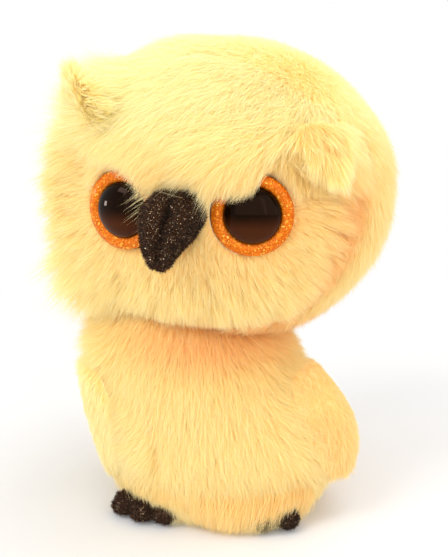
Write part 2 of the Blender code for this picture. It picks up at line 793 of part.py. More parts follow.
def make_feet(body_space):
    far = HEAD_WIDTH
    under = box("sole_space", (-far, -far, 0), (far, far, SOLE_THICKNESS))
    over = box("upper_space", (-far, -far, SOLE_THICKNESS + SEAM_GAP), (far, far, far))
    for side in SIDES:
        form = foot_form("foot", side)
        upper = add_part(f"foot_upper_{side}", form, "sparkle velour")
        boolean(upper, body_space)
        boolean(upper, over, "INTERSECT")
        sole = add_part(f"foot_sole_{side}", form, "sparkle velour")
        boolean(sole, body_space)
        boolean(sole, under, "INTERSECT")


for old in list(bpy.data.objects):
    bpy.data.objects.remove(old)

PARTS = new_collection("plush_owl")
CUTTERS = new_collection("cutters")


def main():
    spaces = half_spaces()
    head_tree = tree_of(head_form("head_guide"))
    body_tree = tree_of(body_form("body_guide"))
    head_space = add_cutter("head_space", head_form("head_space", -SEAM_GAP))
    body_space = add_cutter("body_space", body_form("body_space", -SEAM_GAP))
    eye_spaces = make_eyes(head_tree)
    make_head(spaces, eye_spaces)
    make_beak(head_tree, head_space)
    make_ears(head_tree)
    make_body(spaces, head_space)
    make_wings(body_tree)
    make_feet(body_space)


main()
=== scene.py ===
import json
import math

import bmesh
import bpy
import numpy as np
from mathutils import Matrix, Vector, noise
from mathutils.bvhtree import BVHTree
from mathutils.kdtree import KDTree


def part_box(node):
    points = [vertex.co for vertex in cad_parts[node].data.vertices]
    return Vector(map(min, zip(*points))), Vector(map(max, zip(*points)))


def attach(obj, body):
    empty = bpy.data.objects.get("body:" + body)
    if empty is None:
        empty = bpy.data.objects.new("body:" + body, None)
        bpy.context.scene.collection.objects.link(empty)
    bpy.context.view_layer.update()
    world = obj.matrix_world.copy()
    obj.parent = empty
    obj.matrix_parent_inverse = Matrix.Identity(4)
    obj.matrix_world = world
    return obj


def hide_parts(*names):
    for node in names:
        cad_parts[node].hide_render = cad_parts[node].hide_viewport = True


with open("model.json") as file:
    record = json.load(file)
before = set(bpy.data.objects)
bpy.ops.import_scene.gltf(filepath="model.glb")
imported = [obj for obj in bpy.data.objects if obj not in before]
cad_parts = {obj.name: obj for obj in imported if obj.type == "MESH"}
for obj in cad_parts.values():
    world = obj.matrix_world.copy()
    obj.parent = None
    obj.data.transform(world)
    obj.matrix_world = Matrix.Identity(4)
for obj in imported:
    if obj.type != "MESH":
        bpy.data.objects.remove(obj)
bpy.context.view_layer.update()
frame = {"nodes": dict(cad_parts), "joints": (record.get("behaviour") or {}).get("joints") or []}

MM = 0.001
RAD = math.radians

# The covers' forms, as the source has them
HEAD_SIZE = (0.104, 0.094, 0.093)
HEAD_CENTRE = (0, 0, 0.1065)
FACE_SEAM_Y = -0.022
EYE_HEIGHT = 0.1045
EYE_SPLAY = RAD(12)
IRIS_DIAMETER = 0.0232
IRIS_THICKNESS = 0.0014
IRIS_CROWN = 0.0009
PUPIL_DIAMETER = 0.0160
PUPIL_DOME = 0.0034
BROW_HEIGHT = 0.118
BROW_RADIUS = 0.056
BODY_SIZE = (0.080, 0.070, 0.0765)
BODY_CENTRE = (0, 0, 0.03775)
BODY_LEAN = 0.0110
SIDE_SEAM_Y = -0.004
BASE_DIAMETER = 0.042
BEAK_WIDTH = 0.0180
BEAK_HEIGHT = 0.0225
BEAK_DEPTH = 0.0180
BEAK_TOP = 0.112
BEAK_X = -0.0012
BEAK_LEAN = 0.0042
SIDES = {"left": 1, "right": -1}

# Rows of height, half width, half depth and forward shift, as shares of half the form's own sizes
HEAD_SHAPE_SHARES = [
    (-0.96, 0.28, 0.30, 0.02),
    (-0.76, 0.67, 0.68, 0.03),
    (-0.36, 0.94, 0.94, 0.02),
    (0.08, 1.00, 1.00, 0.01),
    (0.48, 0.90, 0.91, -0.01),
    (0.79, 0.64, 0.66, -0.02),
    (0.96, 0.29, 0.30, -0.02),
]
BODY_SHAPE_SHARES = [
    (-1.00, 0.56, 0.58, -0.04),
    (-0.90, 0.79, 0.85, -0.05),
    (-0.62, 0.94, 0.98, -0.04),
    (-0.28, 1.00, 1.00, 0.00),
    (0.18, 0.84, 0.92, 0.04),
    (0.54, 0.71, 0.80, 0.06),
    (0.88, 0.49, 0.56, 0.06),
]
SEAM_OFF_SHARE = 0.25
LEAN_FROM_SHARE = -0.36
LEAN_TO_SHARE = 0.62
BEAK_SHAPE_SHARES = [
    (0.03, 0.52, 0.44, -0.10),
    (0.20, 0.98, 0.92, 0.00),
    (0.46, 0.98, 1.00, 0.13),
    (0.74, 0.62, 0.72, 0.30),
    (0.96, 0.26, 0.32, 0.42),
]
# The left lobe is a little narrower than the right one at the top and above the tip
BEAK_LEFT_SHARES = (1.0, 0.93, 1.0, 0.72, 1.10)
BEAK_LOBE_SHIFT_SHARE = 0.42
BEAK_LOBE_WIDTH_SHARE = 0.60


# Small tools

def linear(hex_colour, alpha=1.0):
    """Turn an sRGB hex colour into the linear values that a shader takes."""
    channels = [int(hex_colour[i : i + 2], 16) / 255 for i in (1, 3, 5)]
    return (*(c / 12.92 if c <= 0.04045 else ((c + 0.055) / 1.055) ** 2.4 for c in channels), alpha)


def set_sockets(node, values):
    """Set or link a node's sockets. A node stands for its first output, and a hex text for a colour."""
    for key, value in values.items():
        if isinstance(value, bpy.types.Node):
            value = value.outputs[0]
        if isinstance(value, bpy.types.NodeSocket):
            node.id_data.links.new(value, node.inputs[key])
        else:
            node.inputs[key].default_value = linear(value) if isinstance(value, str) else value


def add_node(tree, kind, settings=None, values=None, stops=()):
    """Add a node with its settings, its sockets' values and links, and a ramp's stops."""
    node = tree.nodes.new(f"ShaderNode{kind}")
    for key, value in (settings or {}).items():
        setattr(node, key, value)
    set_sockets(node, values or {})
    if stops:
        elements = node.color_ramp.elements
        while len(elements) < len(stops):
            elements.new(0.5)
        for element, (place, colour) in zip(elements, stops):
            element.position = place
            element.color = linear(colour)
    return node


def new_material(name, values):
    material = bpy.data.materials.new(name)
    material.use_nodes = True
    shader = material.node_tree.nodes["Principled BSDF"]
    set_sockets(shader, values)
    return material, material.node_tree, shader


def new_object(name, data):
    thing = bpy.data.objects.new(name, data)
    bpy.context.scene.collection.objects.link(thing)
    return thing


def finished(name, mesh, material, smooth=True):
    """An object whose mesh is all of one material."""
    mesh.materials.clear()
    mesh.materials.append(material)
    if smooth:
        mesh.shade_smooth()
    return new_object(name, mesh)


def add_piece(name, mesh, finish, body, node, smooth=True):
    """A piece in one of the materials of M, with the body it rides on and the CAD node it stands for."""
    piece = finished(name, mesh, M[finish], smooth)
    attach(piece, body)
    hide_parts(node)
    return piece


def modify(thing, kind, **settings):
    modifier = thing.modifiers.new(kind, kind)
    for key, value in settings.items():
        setattr(modifier, key, value)


def applied(holder):
    """The mesh of an object with its modifiers applied. The object itself is taken away."""
    bpy.context.view_layer.update()
    graph = bpy.context.evaluated_depsgraph_get()
    mesh = bpy.data.meshes.new_from_object(holder.evaluated_get(graph))
    bpy.data.objects.remove(holder)
    return mesh


def smoothed(mesh, levels):
    holder = new_object("cage", mesh)
    modify(holder, "SUBSURF", levels=levels, render_levels=levels)
    return applied(holder)


def mesh_from(form, name):
    mesh = bpy.data.meshes.new(name)
    form.to_mesh(mesh)
    form.free()
    return mesh


def loft(rings, name):
    """Join rings of points into a cage, closed by a pole at each end."""
    form = bmesh.new()
    rows = [[form.verts.new(point) for point in ring] for ring in rings]
    for low, high in zip(rows, rows[1:]):
        for i in range(len(low)):
            j = (i + 1) % len(low)
            form.faces.new((low[i], low[j], high[j], high[i]))
    for row in (rows[0], rows[-1]):
        middle = sum((vertex.co for vertex in row), Vector()) / len(row)
        pole = form.verts.new(middle)
        for i in range(len(row)):
            form.faces.new((row[i], row[(i + 1) % len(row)], pole))
    bmesh.ops.recalc_face_normals(form, faces=form.faces)
    return mesh_from(form, name)


def turned(name, profile, steps=96):
    """Turn a profile of radius and height about Z. A profile that starts off the axis closes on itself."""
    form = bmesh.new()
    rings = []
    for radius, height in profile:
        turns = [math.tau * i / steps for i in range(steps if radius else 1)]
        ring = [(radius * math.cos(turn), radius * math.sin(turn), height) for turn in turns]
        rings.append([form.verts.new(point) for point in ring])
    pairs = list(zip(rings, rings[1:]))
    if profile[0][0] > 0:
        pairs.append((rings[-1], rings[0]))
    for low, high in pairs:
        for i in range(steps):
            j = (i + 1) % steps
            if len(low) == 1:
                form.faces.new((low[0], high[i], high[j]))
            elif len(high) == 1:
                form.faces.new((low[i], high[0], low[j]))
            else:
                form.faces.new((low[i], high[i], high[j], low[j]))
    bmesh.ops.recalc_face_normals(form, faces=form.faces)
    return mesh_from(form, name)


def rise(value, low, high):
    """0 up to the low value, 1 from the high one."""
    share = np.clip((value - low) / (high - low), 0, 1)
    return share * share * (3 - 2 * share)


def fall(value, low, high):
    """1 up to the low value, 0 from the high one."""
    return rise(-value, -high, -low)


def near_place(points, place, near_mm, far_mm, scale=(1, 1, 1)):
    """1 near a place, 0 far from it."""
    gap = np.linalg.norm((points - np.array(place)) * np.array(scale), axis=1)
    return 1 - rise(gap, near_mm * MM, far_mm * MM)


def columns(*values):
    """Vectors from their three parts, which may be arrays or numbers."""
    return np.stack(np.broadcast_arrays(*values), axis=1)


def unit(vectors):
    return vectors / np.maximum(np.linalg.norm(vectors, axis=-1, keepdims=True), 1e-9)


def read_all(items, key, kind):
    flat = np.empty(len(items) * 3, dtype=kind)
    items.foreach_get(key, flat)
    return flat.reshape(-1, 3)


def points_of(mesh):
    return read_all(mesh.vertices, "co", np.float32).astype(float)


def normals_of(mesh):
    return read_all(mesh.vertices, "normal", np.float32).astype(float)


def triangles_of(mesh):
    mesh.calc_loop_triangles()
    return read_all(mesh.loop_triangles, "vertices", np.int32)


def move_points(mesh, points):
    mesh.vertices.foreach_set("co", points.ravel())
    mesh.update()


def tree_of(mesh):
    return BVHTree.FromPolygons([v.co for v in mesh.vertices], [tuple(p.vertices) for p in mesh.polygons])


def inside(tree, points, near, margin):
    """Which of the near points lie inside a closed form grown by a length."""
    found = np.zeros(len(points), dtype=bool)
    for i in np.flatnonzero(near):
        point = Vector(points[i])
        place, normal, _, _ = tree.find_nearest(point)
        found[i] = (point - place).dot(normal) < margin
    return found


FORM_AROUND = 12


def swelling_form(name, shape_shares, size, centre, levels, lean=0.0):
    """The source's stuffed form, smoothed further and fitted to the same sizes."""
    half = [length / 2 for length in size]
    rings = []
    for height, width, depth, forward in shape_shares:
        ring = []
        for i in range(FORM_AROUND):
            turn = math.tau * (i + SEAM_OFF_SHARE) / FORM_AROUND
            x = half[0] * width * math.cos(turn)
            y = half[1] * (depth * math.sin(turn) - forward)
            ring.append(Vector((x, y, half[2] * height)))
        rings.append(ring)
    mesh = smoothed(loft(rings, name), levels)
    points = points_of(mesh)
    low, high = points.min(axis=0), points.max(axis=0)
    points = np.array(centre) + np.array(half) * (2 * (points - low) / (high - low) - 1)
    level = (points[:, 2] - centre[2]) / size[2] * 2
    points[:, 0] -= lean * rise(level, LEAN_FROM_SHARE, LEAN_TO_SHARE)
    move_points(mesh, points)
    return mesh


# Camera, floor and lamps

bpy.context.scene.view_settings.view_transform = "Standard"
# Pale pile hands light on from thread to thread many times
bpy.context.scene.cycles.diffuse_bounces = 12

TARGET = Vector((0, 0, 0.076))
AZIMUTH = RAD(15)
ELEVATION = RAD(13.4)
DISTANCE = 0.290
FOCAL_PIXELS = 870
LONG_SIDE_PIXELS = 557
SENSOR = 36


def make_camera():
    data = bpy.data.cameras.new("camera")
    data.sensor_width = SENSOR
    data.sensor_fit = "AUTO"
    data.lens = FOCAL_PIXELS / LONG_SIDE_PIXELS * SENSOR
    data.clip_start = 0.01
    data.clip_end = 50
    camera = new_object("camera", data)
    away = Vector((
        math.sin(AZIMUTH) * math.cos(ELEVATION),
        -math.cos(AZIMUTH) * math.cos(ELEVATION),
        math.sin(ELEVATION),
    ))
    camera.location = TARGET + away * DISTANCE
    camera.rotation_euler = away.to_track_quat("Z", "Y").to_euler()
    bpy.context.scene.camera = camera


def seen_directly(tree):
    """1 for the rays that show the background: the camera's, and those in metal or glass."""
    rays = add_node(tree, "LightPath").outputs
    seen = add_node(tree, "Math", {"operation": "MAXIMUM"}, {
        0: rays["Is Camera Ray"], 1: rays["Is Glossy Ray"]})
    return add_node(tree, "Math", {"operation": "MAXIMUM"}, {0: seen, 1: rays["Is Transmission Ray"]})


# Radius and height, in metres
FLOOR_PROFILE = [(0, 0), (0.2, 0), (0.6, 0), (1.2, 0), (2.0, 0), (2.5, 0.03), (2.8, 0.14), (3.0, 0.55)]
SHADOW_NEAR = 0.09
SHADOW_FAR = 0.32


def make_floor():
    """A wide dish. Near the owl it is lit and takes its shadow; far off it shows plain white."""
    material, tree, shader = new_material("painted white studio floor", {
        "Base Color": "#e6e6e6", "Roughness": 0.9, "Specular IOR Level": 0.1})
    place = add_node(tree, "TexCoord").outputs["Object"]
    distance = add_node(tree, "VectorMath", {"operation": "LENGTH"}, {0: place})
    far = add_node(tree, "MapRange", {"interpolation_type": "SMOOTHSTEP"}, {
        "Value": distance.outputs["Value"], "From Min": SHADOW_NEAR, "From Max": SHADOW_FAR})
    share = add_node(tree, "Math", {"operation": "MULTIPLY"}, {0: seen_directly(tree), 1: far})
    white = add_node(tree, "Emission", {}, {"Color": "#ffffff", "Strength": 1.0})
    mixed = add_node(tree, "MixShader", {}, {"Fac": share, 1: shader, 2: white})
    set_sockets(tree.nodes["Material Output"], {"Surface": mixed})
    finished("studio_floor", turned("studio_floor", FLOOR_PROFILE), material)


WORLD_LEVEL = 0.70
# Name, place and size in metres, and watts
LAMPS = [
    ("key", (-0.55, -0.75, 0.95), 0.50, 6.0),
    ("window", (-1.10, -0.40, 0.14), 0.14, 1.9),
    ("front", (0.15, -1.25, 0.22), 1.60, 9.8),
    ("fill", (0.95, -0.55, 0.45), 1.20, 6.1),
    ("top", (0.35, 0.20, 1.10), 0.70, 4.4),
]


def make_lamps():
    world = bpy.data.worlds.new("soft room")
    bpy.context.scene.world = world
    world.use_nodes = True
    tree = world.node_tree
    level = add_node(tree, "MapRange", {}, {
        "Value": seen_directly(tree), "To Min": WORLD_LEVEL, "To Max": 1.0})
    set_sockets(tree.nodes["Background"], {"Color": "#ffffff", "Strength": level})
    for name, place, size, watts in LAMPS:
        data = bpy.data.lights.new(name, "AREA")
        data.shape = "SQUARE"
        data.size = size
        data.energy = watts
        lamp = new_object(name, data)
        lamp.location = place
        lamp.rotation_euler = (Vector(place) - TARGET).to_track_quat("Z", "Y").to_euler()


# Materials

# Half of the light that reaches a fine pale thread passes through it
THROUGH_SHARE = 0.5


def pile_material(name, stops, tint_stops):
    """Cut acrylic pile. Each thread is yellower at its root than at its tip, painted shade for the depth of
    the pile, so that gaps between locks glow orange along with the light that bounces in them, and its soft
    sheen lightens the edges of the form. The map gives the thread's own tone with its painted light and
    shade across, and the place along it upwards."""
    material, tree, shader = new_material(name, {
        "Roughness": 0.9, "Sheen Weight": 0.35, "Sheen Roughness": 0.5, "Sheen Tint": "#fff3d2",
        "Specular IOR Level": 0.2})
    place = add_node(tree, "UVMap", {"uv_map": "OFBake"})
    parts = add_node(tree, "SeparateXYZ", {}, {0: place})
    along = add_node(tree, "ValToRGB", {}, {"Fac": parts.outputs["Y"]}, stops)
    shade = add_node(tree, "ValToRGB", {}, {"Fac": parts.outputs["X"]}, tint_stops)
    both = add_node(tree, "Mix", {"data_type": "RGBA", "blend_type": "MULTIPLY"}, {
        "Factor": 1.0, 6: along, 7: shade}).outputs[2]
    set_sockets(shader, {"Base Color": both})
    through = add_node(tree, "BsdfTranslucent", {}, {"Color": both})
    mixed = add_node(tree, "MixShader", {}, {"Fac": THROUGH_SHARE, 1: shader, 2: through})
    set_sockets(tree.nodes["Material Output"], {"Surface": mixed})
    return material


def knitted_material():
    """Knitted backing cloth, seen only deep between threads: fine loops 0.9 mm apart in a darker cream,
    painted shade for the depth of the pile.
    """
    material, tree, shader = new_material("knitted backing cloth", {
        "Roughness": 0.95, "Sheen Weight": 0.2, "Specular IOR Level": 0.15})
    place = add_node(tree, "TexCoord").outputs["Object"]
    loops = add_node(tree, "TexVoronoi", {}, {"Vector": place, "Scale": 1 / (0.9 * MM)})
    patches = add_node(tree, "TexNoise", {}, {"Vector": place, "Scale": 1 / (12 * MM), "Detail": 3.0})
    mixed = add_node(tree, "Math", {"operation": "MULTIPLY_ADD"}, {0: loops, 1: 0.5, 2: patches})
    colour = add_node(tree, "ValToRGB", {}, {"Fac": mixed}, [(0.25, "#ffe6b0"), (0.95, "#fff4cc")])
    bump = add_node(tree, "Bump", {}, {"Strength": 0.5, "Distance": 0.3 * MM, "Height": loops})
    set_sockets(shader, {"Base Color": colour, "Normal": bump})
    return material


def sparkle_material(name, dark, brown, flake_colour, flake_mm, flake_share, roughness):
    """Velour or knit with foil flecks: a dark napped ground with fine fuzz, and small bright flakes that each
    face their own way, so that some of them catch the light."""
    material, tree, shader = new_material(name, {
        "Sheen Weight": 0.08, "Sheen Roughness": 0.4, "Sheen Tint": "#a06844", "Specular Tint": "#b07850"})
    place = add_node(tree, "TexCoord").outputs["Object"]
    fuzz = add_node(tree, "TexNoise", {}, {
        "Vector": place, "Scale": 1 / (0.5 * MM), "Detail": 5.0, "Roughness": 0.75})
    ground = add_node(tree, "ValToRGB", {}, {"Fac": fuzz}, [(0.3, dark), (0.75, brown)])
    flakes = add_node(tree, "TexVoronoi", {}, {"Vector": place, "Scale": 1 / (flake_mm * MM)})
    picked = add_node(tree, "SeparateColor", {}, {0: flakes.outputs["Color"]})
    chosen = add_node(tree, "Math", {"operation": "LESS_THAN"}, {0: picked, 1: flake_share})
    near = add_node(tree, "Math", {"operation": "LESS_THAN"}, {0: flakes, 1: 0.42})
    flake = add_node(tree, "Math", {"operation": "MULTIPLY"}, {0: chosen, 1: near})
    colour = add_node(tree, "Mix", {"data_type": "RGBA"}, {"Factor": flake, 6: ground, 7: flake_colour})
    rough = add_node(tree, "MapRange", {}, {"Value": flake, "To Min": roughness, "To Max": 0.22})
    bump = add_node(tree, "Bump", {}, {"Strength": 0.8, "Distance": 0.2 * MM, "Height": fuzz})
    set_sockets(shader, {
        "Base Color": colour.outputs[2], "Metallic": flake, "Roughness": rough, "Normal": bump})
    return material


def glitter_plastic():
    """Orange-gold glitter cast under clear acrylic: flakes 0.3 mm across in amber to gold, each at its own
    tilt, below a smooth clear coat."""
    material, tree, shader = new_material("cast acrylic over gold glitter", {
        "Metallic": 0.2, "Roughness": 0.4, "Coat Weight": 0.15, "Coat Roughness": 0.05,
        "Specular Tint": "#f0a850"})
    place = add_node(tree, "TexCoord").outputs["Object"]
    flakes = add_node(tree, "TexVoronoi", {}, {"Vector": place, "Scale": 1 / (0.34 * MM)})
    picked = add_node(tree, "SeparateColor", {}, {0: flakes.outputs["Color"]})
    colour = add_node(tree, "ValToRGB", {}, {"Fac": picked}, [
        (0.0, "#b04e06"), (0.35, "#cc600a"), (0.75, "#dc7010"), (0.93, "#f09020"), (1.0, "#ffd860")])
    bump = add_node(tree, "Bump", {}, {"Strength": 0.3, "Distance": 0.15 * MM, "Height": picked.outputs[1]})
    set_sockets(shader, {"Base Color": colour, "Normal": bump})
    return material


def dome_plastic():
    """Injection-moulded acrylic dome, near-black brown and polished: sharp reflections, and a warmer brown
    below, a painted reflection that is lighter low down."""
    material, tree, shader = new_material("polished dark acrylic", {
        "Roughness": 0.04, "IOR": 1.49, "Specular IOR Level": 0.15, "Specular Tint": "#b07850",
        "Coat Weight": 0.05, "Coat Roughness": 0.02})
    place = add_node(tree, "TexCoord").outputs["Object"]
    cloud = add_node(tree, "TexNoise", {}, {"Vector": place, "Scale": 1 / (6 * MM), "Detail": 2.0})
    parts = add_node(tree, "SeparateXYZ", {}, {0: place})
    # Painted reflection: the brown grows lighter towards the bottom of the dome
    down = add_node(tree, "MapRange", {"interpolation_type": "SMOOTHSTEP"}, {
        "Value": parts.outputs["Z"], "From Min": EYE_HEIGHT + 1 * MM, "From Max": EYE_HEIGHT - 5 * MM})
    depth = add_node(tree, "Math", {"operation": "MULTIPLY_ADD"}, {0: cloud, 1: 0.3, 2: down})
    colour = add_node(tree, "ValToRGB", {}, {"Fac": depth}, [(0.15, "#0d0502"), (1.0, "#3e1d0b")])
    set_sockets(shader, {"Base Color": colour})
    return material


def grained_material(name, values, grain_mm, detail, distortion, colours, bump=()):
    """A surface whose colour follows one grain. So does its height, where bump gives strength and mm."""
    material, tree, shader = new_material(name, values)
    place = add_node(tree, "TexCoord").outputs["Object"]
    grain = add_node(tree, "TexNoise", {}, {
        "Vector": place, "Scale": 1 / (grain_mm * MM), "Detail": detail, "Distortion": distortion})
    colour = add_node(tree, "ValToRGB", {}, {"Fac": grain}, list(zip((0.3, 0.7), colours)))
    set_sockets(shader, {"Base Color": colour})
    if bump:
        height = add_node(tree, "Bump", {}, {"Strength": bump[0], "Distance": bump[1] * MM, "Height": grain})
        set_sockets(shader, {"Normal": height})
    return material


# Colours along each thread, deeper at the root as painted shade in the depth of the pile, and colours across
# the map for each thread's own random tone and its painted light and shade: for the pile from deep orange in
# painted shade to white in painted light, for the nap from dark brown to tan
LONG_STOPS = [(0.0, "#fff0bc"), (0.3, "#fff9ce"), (0.65, "#fffddb"), (1.0, "#ffffe8")]
SHORT_STOPS = [(0.0, "#fff2c0"), (0.35, "#fff9ce"), (0.7, "#fffddb"), (1.0, "#ffffe8")]
TINT_STOPS = [(0.0, "#ffd8a8"), (0.5, "#fff4d8"), (1.0, "#ffffff")]
NAP_STOPS = [(0.0, "#8c7468"), (0.6, "#d8c8bc"), (1.0, "#ffffff")]
NAP_TINT_STOPS = [(0.0, "#1a0b05"), (0.35, "#3c1e10"), (0.8, "#684430"), (1.0, "#b89070")]
FILL = {"Roughness": 1.0, "Sheen Weight": 0.3}

M = {
    "long_plush": pile_material("long cut acrylic pile", LONG_STOPS, TINT_STOPS),
    "short_plush": pile_material("short cut acrylic pile", SHORT_STOPS, TINT_STOPS),
    "nap": pile_material("short dark nap", NAP_STOPS, NAP_TINT_STOPS),
    "backing": knitted_material(),
    "beak": sparkle_material("glitter-printed velour", "#0c0503", "#3c2010", "#e8d0a8", 0.2, 0.09, 0.5),
    "foot": sparkle_material("foil-flecked knit", "#0b0605", "#3a241a", "#c8a890", 0.24, 0.10, 0.8),
    "iris": glitter_plastic(),
    "pupil": dome_plastic(),
    # Hexagons of foil about 0.25 mm across, each with a faint embossed grain, that glint one by one
    "flake": grained_material("punched foil flakes", {"Metallic": 1.0, "Roughness": 0.25}, 0.2, 2.0, 0.0,
                              ("#a88868", "#e8d4b4")),
    # Injection-moulded nylon, off-white, with a fine spark-eroded grain that keeps it dull
    "washer": grained_material("moulded white nylon", {"Roughness": 0.45, "IOR": 1.53}, 0.5, 3.0, 0.0,
                               ("#dedbd2", "#f2f0ea"), (0.2, 0.05)),
    # Loose fill and plain woven cloth, both pale and matt, with crossing fibres
    "fill": grained_material("loose polyester fill", FILL, 1.2, 5.0, 2.0, ("#e4e0d6", "#fbfaf5"), (0.6, 0.4)),
    "bag": grained_material("woven pellet bag", FILL, 0.6, 5.0, 2.0, ("#cfcabd", "#e6e2d6"), (0.6, 0.4)),
}


# Pile

PILE_UV_WIDTH = 0.0012
FLOOR_CLEAR = 0.3 * MM
SIDE_REACH = 64.5 * MM
ROLL_RANGE = RAD(80)
FACE_INSET = 3.2 * MM
HEAD_INSET = 2.0 * MM
BODY_INSET = 1.8 * MM


def coat_style(sink, width_mm, root_lift, tip_lift, **changes):
    """How threads stand and lie. The two lifts are degrees from the cloth. The changes are turns and lifts in
    radians and lengths as shares, each the spread from thread to thread, or from lock to lock."""
    usual = {
        "sink": sink, "width": width_mm * MM, "lift_at_root": RAD(root_lift), "lift_at_tip": RAD(tip_lift),
        "segments": 3, "per_lock": 40, "pull": 0.0, "droop": 0.1, "lock_turn": 0.22, "lock_length": 0.13,
        "lock_lift": 0.12, "turn": 0.16, "length": 0.13, "lift": 0.09}
    return {**usual, **changes}


SMOOTH_LIE = {"lock_turn": 0.02, "lock_lift": 0.01, "lock_length": 0.02, "lift": 0.05, "turn": 0.3}
FACE_STYLE = coat_style(FACE_INSET, 0.15, 56, 12, per_lock=70, pull=0.16, droop=0.2, lock_turn=0.11,
                        lock_lift=0.035, lock_length=0.09, lift=0.07, turn=0.18)
WISP_STYLE = coat_style(FACE_INSET, 0.11, 60, 2, per_lock=12, pull=0.3, droop=0.2, lock_turn=0.3, length=0.25)
CROWN_STYLE = coat_style(HEAD_INSET, 0.14, 40, 8, per_lock=60, **SMOOTH_LIE)
BACK_STYLE = coat_style(HEAD_INSET, 0.17, 40, 10, segments=2, **SMOOTH_LIE)
BELLY_STYLE = coat_style(BODY_INSET, 0.15, 42, 8, per_lock=80, droop=0.15, lock_turn=0.03, lock_lift=0.008,
                         lock_length=0.02, lift=0.035, turn=0.3)
SKIRT_STYLE = {**BELLY_STYLE, "lift_at_root": RAD(66), "lift_at_tip": RAD(-2), "droop": 0.5, "pull": 0.2,
               "per_lock": 40, "length": 0.16}
BODY_BACK_STYLE = coat_style(BODY_INSET, 0.17, 50, 10, segments=2, pull=0.10, lock_turn=0.06, lock_lift=0.03,
                             lock_length=0.05)
WING_STYLE = coat_style(0.0, 0.17, 34, 6, segments=2, pull=0.12, lock_turn=0.08, lock_lift=0.04,
                        lock_length=0.05)
RIM_STYLE = coat_style(0.0, 0.15, 55, 20, segments=2, pull=0.05, lock_turn=0.2)
NAP_STYLE = coat_style(0.0, 0.12, 70, 40, segments=2, per_lock=20, pull=0.2, droop=0.0, lock_turn=1.2,
                       turn=0.6)


def scatter(mesh, per_mm2, rng):
    """Random places on a mesh, even by area, with the smooth normal at each."""
    points, normals, triangles = points_of(mesh), normals_of(mesh), triangles_of(mesh)
    corners = points[triangles]
    area = np.linalg.norm(np.cross(corners[:, 1] - corners[:, 0], corners[:, 2] - corners[:, 0]), axis=1) / 2
    count = int(area.sum() / MM / MM * per_mm2)
    picked = rng.choice(len(area), size=count, p=area / area.sum())
    first, second = np.sqrt(rng.random(count)), rng.random(count)
    weights = np.stack([1 - first, first * (1 - second), first * second], axis=1)[:, :, None]
    roots = (corners[picked] * weights).sum(axis=1)
    outward = unit((normals[triangles[picked]] * weights).sum(axis=1))
    return roots, outward


def turned_about(vectors, axes, angles):
    """Turn each vector about its own unit axis."""
    cos, sin = np.cos(angles)[:, None], np.sin(angles)[:, None]
    along = (vectors * axes).sum(axis=1, keepdims=True)
    return vectors * cos + np.cross(axes, vectors) * sin + axes * along * (1 - cos)


def grow(roots, outward, length, flow, style, raised, rng):
    """The points of each thread: it rises from its root and bends over along the flow."""
    count = len(roots)
    flow = flow - outward * (flow * outward).sum(axis=1, keepdims=True)
    flow = unit(flow + 1e-6)
    centres = rng.choice(count, size=max(1, count // style["per_lock"]), replace=False)
    locks = len(centres)
    tree = KDTree(locks)
    for k, i in enumerate(centres):
        tree.insert(roots[i], k)
    tree.balance()
    lock = np.array([tree.find(root)[1] for root in roots])
    lock_turn = rng.normal(0, style["lock_turn"], locks)[lock]
    lock_length = 1 + rng.normal(0, style["lock_length"], locks)[lock]
    lock_lift = rng.normal(0, style["lock_lift"], locks)[lock]
    flow = turned_about(flow, outward, lock_turn + rng.normal(0, style["turn"], count))
    own_length = np.clip(1 + rng.normal(0, style["length"], count), 0.5, 1.35)
    length = length * np.clip(lock_length, 0.6, 1.4) * own_length
    lift = rng.normal(0, style["lift"], count) + lock_lift
    low_lift = style["lift_at_root"] + lift
    high_lift = style["lift_at_tip"] + lift + raised
    segments = style["segments"]
    curve = np.empty((count, segments + 1, 3))
    curve[:, 0] = roots
    for k in range(segments):
        share = (k + 0.5) / segments
        angle = low_lift + (high_lift - low_lift) * share
        way = flow * np.cos(angle)[:, None] + outward * np.sin(angle)[:, None]
        way = unit(way + np.array([0, 0, -style["droop"] * share]))
        curve[:, k + 1] = curve[:, k] + way * (length / segments)[:, None]
    pull = np.clip(style["pull"] * (0.5 + rng.random(count)), 0, 0.9)
    middle = curve[centres[lock]]
    for k in range(1, segments + 1):
        share = (k / segments) ** 1.5
        curve[:, k] -= (curve[:, k] - middle[:, k]) * (pull * share)[:, None]
    lowest = FLOOR_CLEAR + rng.random(count) * 0.5 * MM
    curve[:, 1:, 2] = np.maximum(curve[:, 1:, 2], lowest[:, None])
    curve[:, 1:, 0] = np.maximum(curve[:, 1:, 0], -SIDE_REACH)
    return curve


SHORTENINGS = 5
SHORTER_SHARE = 0.72


def kept_clear(curve, blocked):
    """Shorten the threads that run into a blocked place, and find those that no longer do."""
    def bad_threads():
        return blocked(curve[:, 1:].reshape(-1, 3)).reshape(len(curve), -1).any(axis=1)

    for _ in range(SHORTENINGS):
        bad = bad_threads()
        curve[bad] = curve[bad, :1] + (curve[bad] - curve[bad, :1]) * SHORTER_SHARE
    return ~bad_threads()


